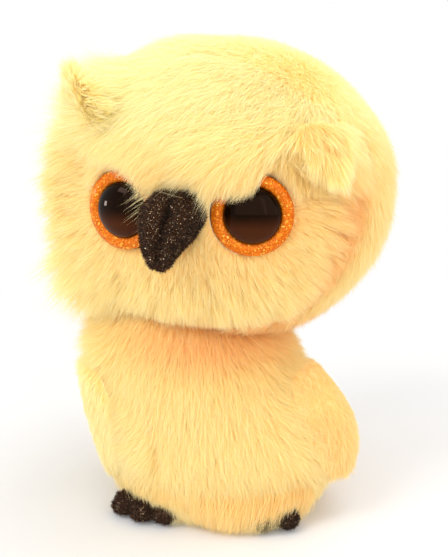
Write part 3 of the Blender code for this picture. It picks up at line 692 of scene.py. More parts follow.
def thread_mesh(name, curve, outward, width, shade, rng):
    """Flat tapering ribbons, each turned about its own line, wide enough to show at the photo's scale."""
    count, segments = len(curve), curve.shape[1] - 1
    way = unit(curve[:, -1] - curve[:, 0])
    side = unit(np.cross(way, outward) + 1e-7)
    side = turned_about(side, way, rng.uniform(-ROLL_RANGE, ROLL_RANGE, count))
    half = width / 2 * (0.75 + 0.5 * rng.random(count))
    tapers = (0.8, 1.0, 0.62) if segments == 3 else (0.9, 0.9)
    per_thread = 2 * segments + 1
    points = np.empty((count, per_thread, 3), dtype=np.float32)
    for k in range(segments):
        reach = side * (half * tapers[k])[:, None]
        points[:, 2 * k] = curve[:, k] - reach
        points[:, 2 * k + 1] = curve[:, k] + reach
    points[:, -1] = curve[:, -1]
    # The corners of one ribbon's faces: four-sided ones and a tip, and where each lies across and up the map
    corners, places = [], []
    for k in range(segments - 1):
        corners += [2 * k, 2 * k + 1, 2 * k + 3, 2 * k + 2]
        places += [(0, k), (1, k), (1, k + 1), (0, k + 1)]
    corners += [2 * segments - 2, 2 * segments - 1, 2 * segments]
    places += [(0, segments - 1), (1, segments - 1), (0.5, segments)]
    places = np.array(places, dtype=float)
    threads = np.arange(count)[:, None]
    loops = np.array(corners) + per_thread * threads
    starts = 4 * np.arange(segments) + len(corners) * threads
    mesh = bpy.data.meshes.new(name)
    for items, key, values, each in (
        (mesh.vertices, "co", points, 3),
        (mesh.loops, "vertex_index", loops.astype(np.int32), 1),
        (mesh.polygons, "loop_start", starts.astype(np.int32), 1),
    ):
        items.add(values.size // each)
        items.foreach_set(key, values.ravel())
    layer = mesh.uv_layers.new(name="OFBake")
    across = np.clip(shade, 0.01, 0.985)[:, None] + PILE_UV_WIDTH * places[:, 0]
    upward = np.broadcast_to(0.01 + 0.98 * places[:, 1] / segments, across.shape)
    layer.data.foreach_set("uv", np.stack([across, upward], axis=2).astype(np.float32).ravel())
    mesh.update(calc_edges=True)
    return mesh


def coat_painted_light(roots):
    """Painted light on the coat, from 0 to 1: palest on the crown and on the owl's right, where the lamps
    fall most, and deepest at the bottom and in the hollow under the head.
    """
    x, _, z = roots.T
    height = [0.0, 0.012, 0.030, 0.052, 0.064, 0.078, 0.104, 0.120, 0.134]
    pale = np.interp(z, height, [0.37, 0.56, 0.59, 0.55, 0.45, 0.55, 0.46, 0.46, 0.80])
    return pale - 1.8 * np.minimum(x, 0) + 0.3 * np.maximum(x, 0)


def pile(name, cloth, body, slot, node, per_mm2, keep, length, flow, style, seed,
         blocked=None, shade=coat_painted_light, raised=None):
    """Grow one panel's pile on its cloth form and hand it over as a piece."""
    rng = np.random.default_rng(seed)
    roots, outward = scatter(cloth, per_mm2, rng)
    kept = keep(roots, outward)
    roots, outward = roots[kept], outward[kept]
    roots = roots - outward * style["sink"]
    lengths = length(roots)
    extra = raised(roots) if raised else 0.0
    curve = grow(roots, outward, lengths, flow(roots), style, extra, rng)
    if blocked is not None:
        clear = kept_clear(curve, blocked)
        curve, roots, outward = curve[clear], roots[clear], outward[clear]
    # Each thread's own random tone, on top of its painted light and shade
    tint = rng.normal(0.0, 0.09, len(roots)) + shade(roots)
    mesh = thread_mesh(name, curve, outward, style["width"], tint, rng)
    add_piece(name, mesh, slot if slot in M else "nap", body, node, smooth=False)


def even(value):
    """The same length for every thread."""
    return lambda roots: np.full(len(roots), value)


def combed(*way):
    """The same flow for every thread."""
    return lambda roots: np.tile(np.array(way, dtype=float), (len(roots), 1))


def every(roots, outward):
    return np.ones(len(roots), dtype=bool)


# Cloth under the pile

# Edge points this near a hole's radius, and no further behind it, are drawn onto the hole
HOLE_REACH = (0.85, 1.25)
HOLE_BEHIND = -0.02


def cloth_piece(name, form, inset, keep_face, cuts, node, holes=()):
    """A panel of backing cloth: the form drawn in below the pile, cut at its seams, and 1 mm thick."""
    mesh = form.copy()
    move_points(mesh, points_of(mesh) - normals_of(mesh) * inset)
    work = bmesh.new()
    work.from_mesh(mesh)
    for normal, place in cuts:
        everything = work.verts[:] + work.edges[:] + work.faces[:]
        bmesh.ops.bisect_plane(work, geom=everything, plane_co=place, plane_no=normal, clear_outer=True)
    drop = [face for face in work.faces if not keep_face(face.calc_center_median())]
    bmesh.ops.delete(work, geom=drop, context="FACES")
    for middle, axis, radius in holes:
        for vertex in work.verts:
            gap = vertex.co - middle
            flat = gap - axis * gap.dot(axis)
            near = radius * HOLE_REACH[0] < flat.length < radius * HOLE_REACH[1]
            if vertex.is_boundary and near and gap.dot(axis) > HOLE_BEHIND:
                vertex.co += flat.normalized() * (radius - flat.length)
    work.to_mesh(mesh)
    work.free()
    piece = add_piece(name, mesh, "backing", "torso", node)
    modify(piece, "SOLIDIFY", thickness=1.0 * MM, offset=-1)


HEAD = swelling_form("head_form", HEAD_SHAPE_SHARES, HEAD_SIZE, HEAD_CENTRE, 4)
BODY = swelling_form("body_form", BODY_SHAPE_SHARES, BODY_SIZE, BODY_CENTRE, 3, BODY_LEAN)
HEAD_TREE, BODY_TREE = tree_of(HEAD), tree_of(BODY)


def eye_frame(side):
    """The eye's axis points out of the face, and its origin is on the back of the iris disc."""
    splay = EYE_SPLAY * SIDES[side]
    axis = Vector((math.sin(splay), -math.cos(splay), 0))
    low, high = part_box(f"eye_iris_{side}")
    middle = (Vector(low) + Vector(high)) / 2
    on_axis = middle - axis * (IRIS_THICKNESS + IRIS_CROWN) / 2
    return Matrix.Translation(on_axis) @ axis.to_track_quat("Z", "Y").to_matrix().to_4x4()


EYES = {side: eye_frame(side) for side in SIDES}


def eye_places(points, side):
    """Points in the eye's own frame: across, up and out, from the middle of the disc's back."""
    to_eye = np.array(EYES[side].inverted())
    return points @ to_eye[:3, :3].T + to_eye[:3, 3]


def eye_gap(points):
    """Distance from the nearer eye's axis, for points of the front of the face."""
    gaps = [np.hypot(*eye_places(points, side)[:, :2].T) for side in SIDES]
    return np.minimum(*gaps)


RIM = IRIS_DIAMETER / 2
IRIS_FRONT = IRIS_THICKNESS + IRIS_CROWN
PUPIL_EDGE = IRIS_THICKNESS + IRIS_CROWN / 2
# Where the brow's fringe ends over each eye: places across and up, as shares of the disc's radius
LID_SHARES = {
    "left": ((-1.1, -0.45, 0.0, 0.15, 0.28, 1.1), (0.34, 0.28, 0.42, 0.60, 1.25, 1.25)),
    "right": ((-1.1, -0.2, 0.2, 0.45, 0.7, 1.1), (1.05, 0.92, 0.80, 0.60, 0.10, -0.50)),
}


def in_eye(points, open_share=1.0):
    """The space in front of an eye that the pile leaves open. The brow's fringe may hang over its top."""
    found = np.zeros(len(points), dtype=bool)
    for side in SIDES:
        across, up, out = eye_places(points, side).T
        gap = np.hypot(across, up)
        lid = np.interp(across / RIM, *LID_SHARES[side]) * RIM - (1 - open_share) * 2 * RIM
        inner = np.clip(gap / (PUPIL_DIAMETER / 2), 0, 1)
        front = np.where(inner < 1, PUPIL_EDGE + PUPIL_DOME * np.sqrt(1 - inner ** 2), IRIS_FRONT) + 0.3 * MM
        found |= (gap < RIM + 0.2 * MM) & (out > -1 * MM) & ((up < lid) | (out < front))
    return found


def in_beak(points):
    """The beak's outline seen from the front, drawn in a little."""
    drop = (BEAK_TOP - points[:, 2]) / BEAK_HEIGHT
    width = np.interp(drop, [-0.02, 0.1, 0.3, 0.55, 0.8, 1.0], [0.3, 0.75, 0.95, 0.85, 0.5, 0.2])
    middle = BEAK_X - BEAK_LEAN * np.clip(drop, 0, 1) ** 2
    across = np.abs(points[:, 0] - middle) < width * BEAK_WIDTH / 2 - 0.8 * MM
    return (drop > 0.02) & (drop < 1.0) & across & (points[:, 1] < -0.03)


def over_brow(points):
    return points[:, 0] ** 2 + (points[:, 2] - BROW_HEIGHT - BROW_RADIUS) ** 2 < BROW_RADIUS ** 2


def is_face(points):
    return (points[:, 1] < FACE_SEAM_Y) & ~over_brow(points)


def is_crown(points):
    return (points[:, 1] < FACE_SEAM_Y) & over_brow(points)


def face_cloth_keeps(point):
    """The cloth ends at each disc, but where a disc stands proud of it, it goes on behind the disc."""
    at = np.array([point])
    for side in SIDES:
        across, up, out = eye_places(at, side)[0]
        gap = math.hypot(across, up)
        if gap < RIM + 0.2 * MM and not (gap > 5 * MM and out < -1.0 * MM):
            return False
    return is_face(at)[0]


def off_base(point):
    return point.z > 4 * MM or math.hypot(point.x, point.y) > BASE_DIAMETER / 2


def make_cloths():
    # What lies beyond each seam plane is cut off: the way that it faces, and a place on it
    head_front, head_rear = ((0, 1, 0), (0, FACE_SEAM_Y, 0)), ((0, -1, 0), (0, FACE_SEAM_Y, 0))
    belly_front, belly_rear = ((0, 1, 0), (0, SIDE_SEAM_Y, 0)), ((0, -1, 0), (0, SIDE_SEAM_Y, 0))
    holes = [
        (EYES[side].translation, (EYES[side].to_3x3() @ Vector((0, 0, 1))).normalized(), RIM + 0.4 * MM)
        for side in SIDES
    ]

    def body_keeps(point):
        return off_base(point) and point.z < 0.070

    cloth_piece("head_face_cloth", HEAD, FACE_INSET, face_cloth_keeps, [head_front],
                "head_face_panel", holes)
    cloth_piece("head_crown_cloth", HEAD, HEAD_INSET, lambda p: is_crown(np.array([p]))[0], [head_front],
                "head_crown_panel")
    middle = {side: ((-sign, 0, 0), (0, 0, 0)) for side, sign in SIDES.items()}
    for side in SIDES:
        cloth_piece(f"head_back_cloth_{side}", HEAD, HEAD_INSET, lambda p: True, [head_rear, middle[side]],
                    f"head_back_{side}")
    cloth_piece("belly_cloth", BODY, BODY_INSET, body_keeps, [belly_front], "body_belly_panel")
    for side in SIDES:
        cloth_piece(f"body_back_cloth_{side}", BODY, BODY_INSET, body_keeps, [belly_rear, middle[side]],
                    f"body_back_{side}")
    cloth_piece("base_cloth", BODY, 0.6 * MM, lambda p: not off_base(p), [], "base_panel")


# How the head's pile lies: its flow, its length in metres, how far it is raised in radians, and its painted
# light and shade

FACE_MIDDLE = np.array([0.0, -0.046, 0.099])
WHORL = np.array([0.016, 0.036, 0.15])


def face_flow(roots):
    """Out from between the eyes and the beak, and down over the cheeks."""
    away = unit(roots - FACE_MIDDLE)
    flow = away * np.array([1.2, 0.8, 0.9])
    flow[:, 2] -= 0.55
    for side in SIDES:
        across, up, out = eye_places(roots, side).T
        gap = np.hypot(across, up)
        near = np.exp(-np.maximum(gap - RIM, 0) / (4 * MM))
        turn = np.array(EYES[side].to_3x3())
        push = (np.stack([across, up, np.zeros_like(up)], axis=1) / gap[:, None]) @ turn.T
        flow += push * (2.2 * near)[:, None]
    brow = rise(roots[:, 2], 0.108, 0.118)
    flow[:, 0] -= 0.7 * brow
    flow[:, 2] -= 0.9 * brow
    return flow


def beside_hanging_ear(roots):
    """The hollow between the brow and the hanging ear."""
    return near_place(roots, (0.029, -0.037, 0.121), 4, 9)


def over_hanging_ear(roots):
    """The seam of the hanging ear, which the crown's pile falls over."""
    return near_place(roots, (0.034, -0.030, 0.133), 5, 12)


def by_ear(roots):
    """The hollow between the crown and the raised ear."""
    return near_place(roots, (-0.027, -0.024, 0.138), 6, 15, (1.0, 0.6, 1.0))


def right_cheek(roots):
    return rise(-roots[:, 0], 0.018, 0.036)


def face_length(roots):
    """Short round the eyes and the beak, long over the cheeks, and longest at the right cheek."""
    x, _, z = roots.T
    from_beak = np.hypot(x - BEAK_X, (z - 0.101) * 0.8)
    near = np.minimum(eye_gap(roots) - RIM, from_beak - 7 * MM)
    length = 4.0 * MM + 9.5 * MM * rise(near, 0.5 * MM, 17 * MM)
    right = right_cheek(roots)
    length = length * (1 + right * (0.08 + 0.56 * fall(z, 0.088, 0.104)))
    length += 6.0 * MM * beside_hanging_ear(roots) + 4.0 * MM * by_ear(roots)
    length = length * (1 - 0.68 * (1 - right) * fall(z, 0.068, 0.086))
    return length * (1 - 0.45 * seam_groove(roots))


def face_raise(roots):
    """The cheeks stand further out than the middle."""
    x, _, z = roots.T
    left = RAD(6) * rise(x, 0.03, 0.045) + RAD(34) * beside_hanging_ear(roots) + RAD(26) * by_ear(roots)
    return right_cheek(roots) * (RAD(24) + RAD(32) * fall(z, 0.084, 0.102)) + left


def seam_groove(roots):
    """Near the side seam, where the pile is drawn in, on the owl's left."""
    x, y, z = roots.T
    beside = rise(x, 0.015, 0.030) * fall(z, 0.108, 0.122)
    return (1 - rise(np.abs(y - FACE_SEAM_Y), 1.5 * MM, 9.0 * MM)) * beside


# Painted shade: the coat's painted light, deeper along the seam groove and at the bottom of the face but for
# the owl's right cheek
def head_painted_shade(roots):
    x, _, z = roots.T
    low = fall(z, 0.064, 0.080) * rise(x, -0.028, -0.006)
    return coat_painted_light(roots) - 0.30 * seam_groove(roots) - 0.30 * low


def top_flow(roots):
    """Out from a whorl behind the top, across the crown and the brow, and down the sides and back."""
    x, y, z = roots.T
    flow = roots - WHORL
    flow[:, 2] = 0
    flow = unit(flow) * 0.75
    flow[:, 0] -= 0.55 * rise(z, 0.118, 0.134) * fall(x, 0.020, 0.046)
    flow[:, 2] -= 0.8
    flow[:, 0] -= 0.5 * fall(z, 0.120, 0.138) * rise(-y, 0.018, 0.030)
    flow += by_ear(roots)[:, None] * np.array([-1.6, -0.2, 0.9])
    return flow


def fringe(roots):
    """The part of the brow whose long hairs hang over the left eye."""
    x, _, z = roots.T
    return fall(z, 0.124, 0.132) * rise(x, 0.001, 0.010) * fall(x, 0.026, 0.034)


def by_ear_raise(roots):
    return RAD(60) * by_ear(roots)


def top_fullness(roots):
    """The top of the head is fuller on the owl's right."""
    x, _, z = roots.T
    return 2.4 * MM * np.clip(0.4 - x / 0.02, -0.5, 1) * rise(z, 0.118, 0.135)


def crown_length(roots):
    low = fall(roots[:, 2], 0.121, 0.134)
    length = 7.5 * MM + 3.0 * MM * low + 6.0 * MM * fringe(roots) + 6.5 * MM * by_ear(roots)
    return length + 5.0 * MM * over_hanging_ear(roots) + top_fullness(roots)


def back_length(roots):
    x, y, z = roots.T
    forward = rise(-y, 0.002, 0.022)
    right = rise(-x, 0.02, 0.04)
    length = 6.6 * MM + 6.0 * MM * forward * fall(z, 0.105, 0.132) * right + 6.5 * MM * by_ear(roots)
    side = rise(x, 0.012, 0.030) * fall(z, 0.122, 0.138)
    length += side * (2.8 * MM - 1.4 * MM * fall(z, 0.080, 0.096))
    length += 4.0 * MM * over_hanging_ear(roots) + top_fullness(roots)
    return length * (1 - 0.35 * seam_groove(roots))


def back_raise(roots):
    x, y, z = roots.T
    right = rise(-y, -0.002, 0.022) * rise(-x, 0.02, 0.04) * fall(z, 0.115, 0.140)
    raised = right * (RAD(18) + RAD(38) * fall(z, 0.086, 0.104)) + RAD(8) * rise(x, 0.01, 0.03)
    return np.maximum(raised, by_ear_raise(roots))


# How the body's pile lies

def body_flow(roots):
    """Down from the neck, spreading from a whorl high on the belly, and back over the wings' front edges."""
    x, y, _ = roots.T
    beside = beside_wing(roots)
    return columns((x + 0.004) * 14 + 0.08 + 0.9 * beside * np.sign(x), y * 8 + 0.7 * beside, -1.0)


def wing_gap(roots, side):
    """Distance from a wing's middle seen from the side, as a share of its half size, with what lies on its
    side of the body and what lies in front of its middle."""
    low, high = (np.array(corner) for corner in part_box(f"wing_outer_{side}"))
    middle, half = (low + high) / 2, (high - low) / 2 - 1.5 * MM
    gap = np.hypot(*(np.abs(roots[:, 1:] - middle[1:]) / half[1:]).T)
    return gap, roots[:, 0] * SIDES[side] > 0.012, roots[:, 1] < middle[1]


def beside_wing(roots):
    """How near each place is to a wing's front edge."""
    near = np.zeros(len(roots))
    for side in SIDES:
        gap, own, before = wing_gap(roots, side)
        ring = rise(gap, 0.65, 0.85) * (1 - rise(gap, 1.15, 1.5))
        near = np.maximum(near, own * before * ring)
    return near * rise(roots[:, 2], 0.014, 0.028)


def under_wing(roots):
    """How far each place lies under a wing, from 0 to 1."""
    covered = np.zeros(len(roots))
    for side in SIDES:
        gap, own, _ = wing_gap(roots, side)
        covered = np.maximum(covered, own * (1 - rise(gap, 0.40, 0.70)))
    return covered


def neck_raise(roots):
    """The pile of the neck stands out under the cheeks and fills the hollow there."""
    x, _, z = roots.T
    right = rise(-x, 0.024, 0.036)
    sides = rise(np.abs(x + BODY_LEAN), 0.010, 0.024)
    return rise(z, 0.046, 0.058) * (RAD(34) * sides + RAD(24) * right)


def belly_length(roots):
    x, _, z = roots.T
    low = fall(z, 0.006, 0.024)
    length = 8.0 * MM + 1.5 * MM * low
    length = length * (1 - 0.75 * under_wing(roots)) + 3.0 * MM * neck_raise(roots)
    length += 2.5 * MM * beside_wing(roots)
    sides = rise(np.abs(x), 0.0, 0.012) * (1 - rise(np.abs(x), 0.020, 0.032))
    length += 3.0 * MM * low * sides
    return np.minimum(length, 8 * MM + np.maximum(z, 0) * 0.9)


def belly_raise(roots):
    """The fringe stands out over the left foot."""
    x, y, z = roots.T
    over_foot = RAD(26) * (fall(z, 0.008, 0.020) * rise(np.abs(x), 0.0, 0.012)) * (y < -0.015)
    return neck_raise(roots) + over_foot + RAD(30) * beside_wing(roots)


def body_painted_shade(roots):
    """Painted shade: deeper in the hollow of the neck under the head, and on the owl's left, away from the
    lamps.
    """
    x, _, z = roots.T
    neck = rise(z, 0.048, 0.064) * rise(x, -0.040, 0.004)
    return coat_painted_light(roots) - 0.27 * neck - 3.0 * np.maximum(x - 0.012, 0)


def body_back_length(roots):
    return 6.0 * MM * (1 - 0.65 * under_wing(roots)) + 3.0 * MM * neck_raise(roots)


# Below the first height the head may lie in the body, and above the second the body may lie in the head
HEAD_LOW = 0.085
BODY_HIGH = 0.052


def off_body(p):
    return ~inside(BODY_TREE, p, p[:, 2] < HEAD_LOW, -3.0 * MM)


def off_head(p):
    return ~inside(HEAD_TREE, p, p[:, 2] > BODY_HIGH, -2.0 * MM)


def blocked_face(p):
    return in_eye(p) | in_beak(p)


def make_piles():
    for seed, (side, sign) in enumerate(SIDES.items()):
        def own(p):
            return p[:, 0] * sign >= 0

        pile(f"head_face_pile_{side}", HEAD, "torso", "long_plush", "head_face_panel", 11,
             lambda p, n: own(p) & is_face(p) & (eye_gap(p) > RIM + 0.3 * MM) & ~in_beak(p) & off_body(p),
             face_length, face_flow, FACE_STYLE, 11 + 50 * seed, blocked_face, head_painted_shade, face_raise)
        pile(f"head_back_pile_{side}", HEAD, "torso", "short_plush", f"head_back_{side}", 7.0,
             lambda p, n: own(p) & (p[:, 1] >= FACE_SEAM_Y) & off_body(p),
             back_length, top_flow, BACK_STYLE, 13 + 50 * seed, None, head_painted_shade, back_raise)
        pile(f"belly_pile_{side}", BODY, "torso", "long_plush", "body_belly_panel", 9,
             lambda p, n: own(p) & (p[:, 1] < SIDE_SEAM_Y) & (p[:, 2] > 2.0 * MM) & off_head(p),
             belly_length, body_flow, BELLY_STYLE, 21 + 50 * seed, None, body_painted_shade, belly_raise)
        pile(f"body_back_pile_{side}", BODY, "torso", "short_plush", f"body_back_{side}", 7,
             lambda p, n: own(p) & (p[:, 1] >= SIDE_SEAM_Y) & (p[:, 2] > 2.0 * MM) & off_head(p),
             body_back_length, body_flow, BODY_BACK_STYLE, 23 + 50 * seed, None, body_painted_shade, neck_raise)
    pile("head_crown_pile", HEAD, "torso", "long_plush", "head_crown_panel", 14, lambda p, n: is_crown(p),
         crown_length, top_flow, CROWN_STYLE, 12, blocked_face, head_painted_shade, by_ear_raise)

    def over_feet(p, n):
        x, y, z = p.T
        return (y < -0.012) & (z > 7 * MM) & (z < 17 * MM) & (np.abs(x) < 0.034)

    def skirt_length(p):
        """It parts over the right foot and hangs low over the left one."""
        across = [-0.020, -0.004, 0.010, 0.022, 0.027, 0.034]
        return np.interp(p[:, 0], across, [10.5, 8.0, 14.0, 14.5, 12.0, 11.0]) * MM

    # The fringe low over the feet is deeper by painted shade
    pile("foot_fringe", BODY, "torso", "long_plush", "body_belly_panel", 10, over_feet, skirt_length,
         lambda p: columns(p[:, 0] * 6, -0.6, -1.0), SKIRT_STYLE, 79, None, lambda p: body_painted_shade(p) - 0.16)

    def brow(p, n):
        x, y, z = p.T
        return (y < -0.025) & (np.abs(z - 0.1185) < 4.5 * MM) & (x > -0.030) & (x < 0.038)

    pile("brow_fringe", HEAD, "torso", "long_plush", "head_crown_panel", 12, brow,
         lambda p: 7.0 * MM + 5.0 * MM * fringe(p), combed(-0.45, -0.2, -1.0), CROWN_STYLE, 78,
         blocked_face, head_painted_shade)

    def bridge(p, n):
        x, y, z = p.T
        return (y < -0.03) & (np.abs(x + 0.001) < 6.5 * MM) & (np.abs(z - 0.112) < 7.0 * MM)

    def wisp_flow(p):
        return columns(-1.0, -0.2, -0.35 - 40 * (0.119 - p[:, 2]))

    pile("bridge_wisps", HEAD, "torso", "long_plush", "head_face_panel", 4.5, bridge, even(11.0 * MM),
         wisp_flow, WISP_STYLE, 77, lambda p: in_eye(p, 0.0), head_painted_shade)


# Wings and ears

def softened(node, name, voxel, rounds, inset=0.0):
    """A CAD node's mesh, remeshed and rounded, and drawn in where its pile needs room."""
    holder = new_object(name, frame["nodes"][node].data.copy())
    modify(holder, "REMESH", mode="VOXEL", voxel_size=voxel)
    modify(holder, "SMOOTH", iterations=rounds, factor=0.5)
    mesh = applied(holder)
    mesh.name = name
    if inset:
        move_points(mesh, points_of(mesh) - normals_of(mesh) * inset)
    return mesh


def flap_cloths(kind, side, panels, voxel, inset):
    """The backing cloth of a wing's or an ear's two panels, given with their slots, which are not used."""
    cloths = []
    for panel, slot in panels:
        name = f"{kind}_{panel}_cloth_{side}"
        mesh = softened(f"{kind}_{panel}_{side}", name, voxel, 6, inset)
        add_piece(name, mesh, "backing", f"{kind}_{side}", f"{kind}_{panel}_{side}")
        cloths.append(mesh)
    return cloths


def hinge_place(side, kind):
    joints = {joint["name"]: joint for joint in frame["joints"]}
    return np.array(joints[f"{kind}_{side}_lift"]["pos_m"])


# The way each wing faces, how much shorter its pile is high up, and how its painted light changes it: paler
# on
# # the owl's right wing, which faces the lamps, and deeper in painted shade on the left one
WING_OUT = {"left": (1, -0.1, 0.0), "right": (-1, -0.35, 0.0)}
WING_SHORTER = {"left": 3.0 * MM, "right": 0.5 * MM}
WING_PAINTED_LIGHT = {"left": -0.20, "right": 0.08}


def make_wings():
    for seed, side in enumerate(SIDES):
        root = hinge_place(side, "wing")
        lining, outer = flap_cloths("wing", side, [("lining", "short_plush"), ("outer", "short_plush")],
                                    0.5 * MM, 0.25 * MM)
        out = np.array(WING_OUT[side])
        out = out / np.linalg.norm(out)

        def flow(p):
            back = rise(-p[:, 1], -root[1] - 0.004, -root[1] + 0.016)
            return columns(0.10 * SIDES[side], -0.5 * back, -1.0)

        pile(f"wing_pile_{side}", outer, f"wing_{side}", "short_plush", f"wing_outer_{side}", 11,
             lambda p, n: (n @ out) > -0.7,
             lambda p: 5.0 * MM - WING_SHORTER[side] * rise(p[:, 2], 0.028, 0.044),
             flow, WING_STYLE, 31 + seed, None, lambda p: coat_painted_light(p) + WING_PAINTED_LIGHT[side])
        pile(f"wing_rim_pile_{side}", lining, f"wing_{side}", "short_plush", f"wing_lining_{side}", 14,
             lambda p, n: np.abs(n @ out) < 0.8, even(3.6 * MM), flow, RIM_STYLE, 36 + seed)


# Which way each ear's pile is combed, and its length. The raised ear's falls outward, the hanging one's down
EAR_COMB = {"left": (0.0, -0.1, -1.0), "right": (1.3, -0.35, 0.15)}
EAR_SPREAD = {"left": 0.0, "right": 0.6}
EAR_PILE_LENGTH = {"left": 8.0 * MM, "right": 4.5 * MM}
EAR_LINING_LENGTH = {"left": 4.0 * MM, "right": 3.0 * MM}
EAR_ROOT_LIFT = {"left": 14, "right": 30}
# Painted light on each ear's pile: deeper in painted shade on the hanging left ear, paler on the raised right
# one
EAR_PAINTED_LIGHT = {"left": 0.50, "right": 0.72}


def make_ears():
    for seed, side in enumerate(SIDES):
        root = hinge_place(side, "ear")
        lining, tuft = flap_cloths("ear", side, [("lining", "short_plush"), ("tuft", "long_plush")],
                                   0.4 * MM, 0.15 * MM)
        middle = points_of(tuft).mean(axis=0)
        tip_way = middle - root
        tip_way = tip_way / np.linalg.norm(tip_way)

        def inward(p):
            return rise(-SIDES[side] * (p[:, 0] - middle[0]), -5 * MM, 2 * MM)

        def flow(p):
            across = p - middle - np.outer((p - middle) @ tip_way, tip_way)
            share = inward(p)[:, None] if side == "right" else 1.0
            comb = np.array(EAR_COMB[side]) + EAR_SPREAD[side] * unit(across)
            return (1.35 - share) * tip_way + comb * share

        def length(p):
            return EAR_PILE_LENGTH[side] + EAR_SPREAD[side] * 10.0 * MM * inward(p)

        style = coat_style(0.0, 0.15, EAR_ROOT_LIFT[side], 8, per_lock=50, pull=0.30, droop=0.25,
                           lock_turn=0.2)
        shade = even(EAR_PAINTED_LIGHT[side])
        pile(f"ear_pile_{side}", tuft, f"ear_{side}", "long_plush", f"ear_tuft_{side}", 16,
             every, length, flow, style, 41 + seed, None, shade)
        pile(f"ear_lining_pile_{side}", lining, f"ear_{side}", "short_plush", f"ear_lining_{side}", 14,
             every, even(EAR_LINING_LENGTH[side]), combed(0.0, 0.0, -SIDES[side]), style, 61 + seed,
             None, shade)


# Eyes, beak, feet and what lies inside

SHANK_RADIUS = 2.3 * MM
SHANK_HOLE = 2.9 * MM
RIDGE_RADIUS = 2.7 * MM


def make_eyes():
    radius = PUPIL_DIAMETER / 2
    seat = radius + 0.2 * MM
    iris = [(SHANK_HOLE, 0), (RIM - 0.5 * MM, 0), (RIM - 0.1 * MM, 0.15 * MM), (RIM, 0.6 * MM)]
    for k in range(13):
        share = k / 12
        height = IRIS_THICKNESS + IRIS_CROWN * (math.sin(math.pi * (0.1 + 0.75 * share)) ** 0.8 - 0.3) * 1.25
        iris.append((RIM - 0.05 * MM - (RIM - seat) * share, min(height, IRIS_FRONT)))
    iris += [(seat, IRIS_THICKNESS / 2), (SHANK_HOLE, IRIS_THICKNESS / 2)]
    pupil = [(0, PUPIL_EDGE + PUPIL_DOME)]
    for k in range(1, 25):
        turn = math.pi / 2 * k / 24
        pupil.append((radius * math.sin(turn), PUPIL_EDGE + PUPIL_DOME * math.cos(turn)))
    pupil += [(radius - 0.05 * MM, 1.0 * MM), (SHANK_RADIUS, 1.0 * MM), (SHANK_RADIUS, -5 * MM)]
    for k in range(3):
        top = -5 * MM - 2.9 * MM * k
        pupil += [(RIDGE_RADIUS, top - 0.5 * MM), (SHANK_RADIUS, top - 2 * MM)]
    pupil += [(1.2 * MM, -14 * MM), (0, -14 * MM)]
    for side in SIDES:
        for name, profile, finish, slot, node in (
            (f"eye_iris_ring_{side}", iris, "iris", "glitter_plastic", f"eye_iris_{side}"),
            (f"eye_dome_{side}", pupil, "pupil", "dark_gloss_plastic", f"eye_pupil_{side}"),
        ):
            mesh = turned(name, profile)
            mesh.transform(EYES[side])
            add_piece(name, mesh, finish, "torso", node)
        washer = frame["nodes"][f"eye_washer_{side}"]
        washer.data.materials.clear()
        washer.data.materials.append(M["washer"])


def lumps(mesh, amount, scale, seed):
    """Move each point along its normal by a soft random amount."""
    points, normals = points_of(mesh), normals_of(mesh)
    shift = np.array([noise.noise(Vector(p) * scale + Vector((seed, seed, seed))) for p in points])
    move_points(mesh, points + normals * (shift * amount)[:, None])


HEXAGON = [math.tau * i / 6 for i in range(6)]


def sparkling_nap(name, mesh, slot, node, seed):
    """A short uneven nap of random tones, its palest threads standing for both foil tips and painted glints,
    paler on the owl's right by painted light, with loose foil flakes lying on it.
    """
    rng = np.random.default_rng(seed)
    pile(f"{name}_nap", mesh, "torso", slot, node, 16,
         lambda p, n: (p[:, 2] > 1.5 * MM) & ((p[:, 1] < -0.044) | (p[:, 2] < 0.02)),
         lambda p: 0.9 * MM * (0.5 + rng.random(len(p))), lambda p: rng.normal(0, 1, p.shape),
         NAP_STYLE, seed, None, lambda p: rng.random(len(p)) ** 3 + 0.16 * (p[:, 0] < BEAK_X))
    places, outward = scatter(mesh, 0.35, rng)
    facing = unit(outward + rng.normal(0, 0.35, outward.shape))
    form = bmesh.new()
    for place, way, face in zip(places, outward, facing):
        turn = Vector(face).to_track_quat("Z", "Y").to_matrix()
        radius = rng.uniform(0.09, 0.17) * MM
        middle = Vector(place + way * 0.45 * MM)
        corners = [Vector((math.cos(around), math.sin(around), 0)) * radius for around in HEXAGON]
        form.faces.new([form.verts.new(middle + turn @ corner) for corner in corners])
    flakes = mesh_from(form, f"{name}_flakes")
    add_piece(f"{name}_flakes", flakes, "flake", "torso", node, smooth=False)


BEAK_AROUND = 16


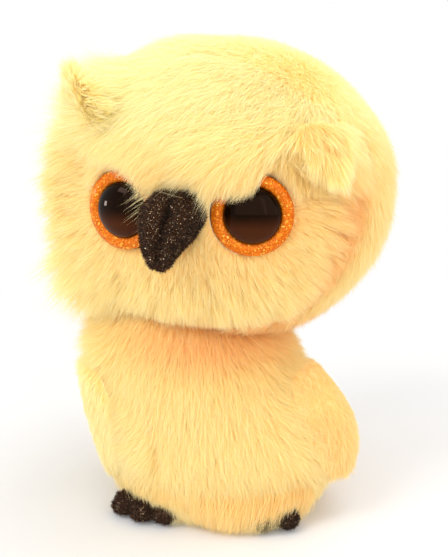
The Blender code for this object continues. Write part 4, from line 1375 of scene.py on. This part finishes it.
def make_beak():
    half_width, half_depth = BEAK_WIDTH / 2, BEAK_DEPTH / 2
    root_y = HEAD_TREE.ray_cast(Vector((BEAK_X, -0.5, BEAK_TOP - BEAK_HEIGHT / 3)), Vector((0, 1, 0)))[0].y
    for seed, (side, sign) in enumerate(SIDES.items()):
        rings = []
        for (drop, width, depth, reach), left_share in zip(BEAK_SHAPE_SHARES, BEAK_LEFT_SHARES):
            ring = []
            width = width * (left_share if side == "left" else 1)
            for i in range(BEAK_AROUND):
                turn = math.tau * i / BEAK_AROUND
                lobe = sign * BEAK_LOBE_SHIFT_SHARE + BEAK_LOBE_WIDTH_SHARE * math.cos(turn)
                x = sign * max(0.05 * MM, sign * half_width * width * lobe)
                ring.append(Vector((x, half_depth * (depth * math.sin(turn) - reach), -drop * BEAK_HEIGHT)))
            rings.append(ring)
        name = f"beak_lobe_{side}"
        mesh = smoothed(loft(rings, name), 4)
        points = points_of(mesh)
        points[:, 0] -= BEAK_LEAN * (points[:, 2] / BEAK_HEIGHT) ** 2
        move_points(mesh, points + np.array([BEAK_X, root_y, BEAK_TOP]))
        lumps(mesh, 0.7 * MM, 260, 3 + seed)
        lumps(mesh, 0.3 * MM, 900, 8 + seed)
        add_piece(name, mesh, "beak", "torso", f"beak_panel_{side}")
        sparkling_nap(f"beak_{side}", mesh, "sparkle_velour", f"beak_panel_{side}", 17 + seed)


def make_feet():
    for seed, side in enumerate(SIDES):
        for kind in ("upper", "sole"):
            node, name = f"foot_{kind}_{side}", f"foot_{kind}_pad_{side}"
            mesh = softened(node, name, 0.35 * MM, 5)
            if kind == "upper":
                lumps(mesh, 0.4 * MM, 420, 5 + seed)
            add_piece(name, mesh, "foot", "torso", node)
            if kind == "upper":
                sparkling_nap(f"foot_{side}", mesh, "sparkle_fabric", node, 91 + seed)


def make_insides():
    for node, name, voxel, finish, slot in (
        ("head_stuffing", "head_fill", 1.2 * MM, "fill", "fibre_fill"),
        ("body_stuffing", "body_fill", 1.2 * MM, "fill", "fibre_fill"),
        ("beak_stuffing", "beak_fill", 0.6 * MM, "fill", "fibre_fill"),
        ("pellet_bag", "pellet_pouch", 1.2 * MM, "bag", "pellet_cloth"),
    ):
        mesh = softened(node, name, voxel, 3)
        lumps(mesh, -0.4 * MM, 180, 2)
        add_piece(name, mesh, finish, "torso", node)


make_camera()
make_floor()
make_lamps()
make_cloths()
make_piles()
make_wings()
make_ears()
make_eyes()
make_beak()
make_feet()
make_insides()
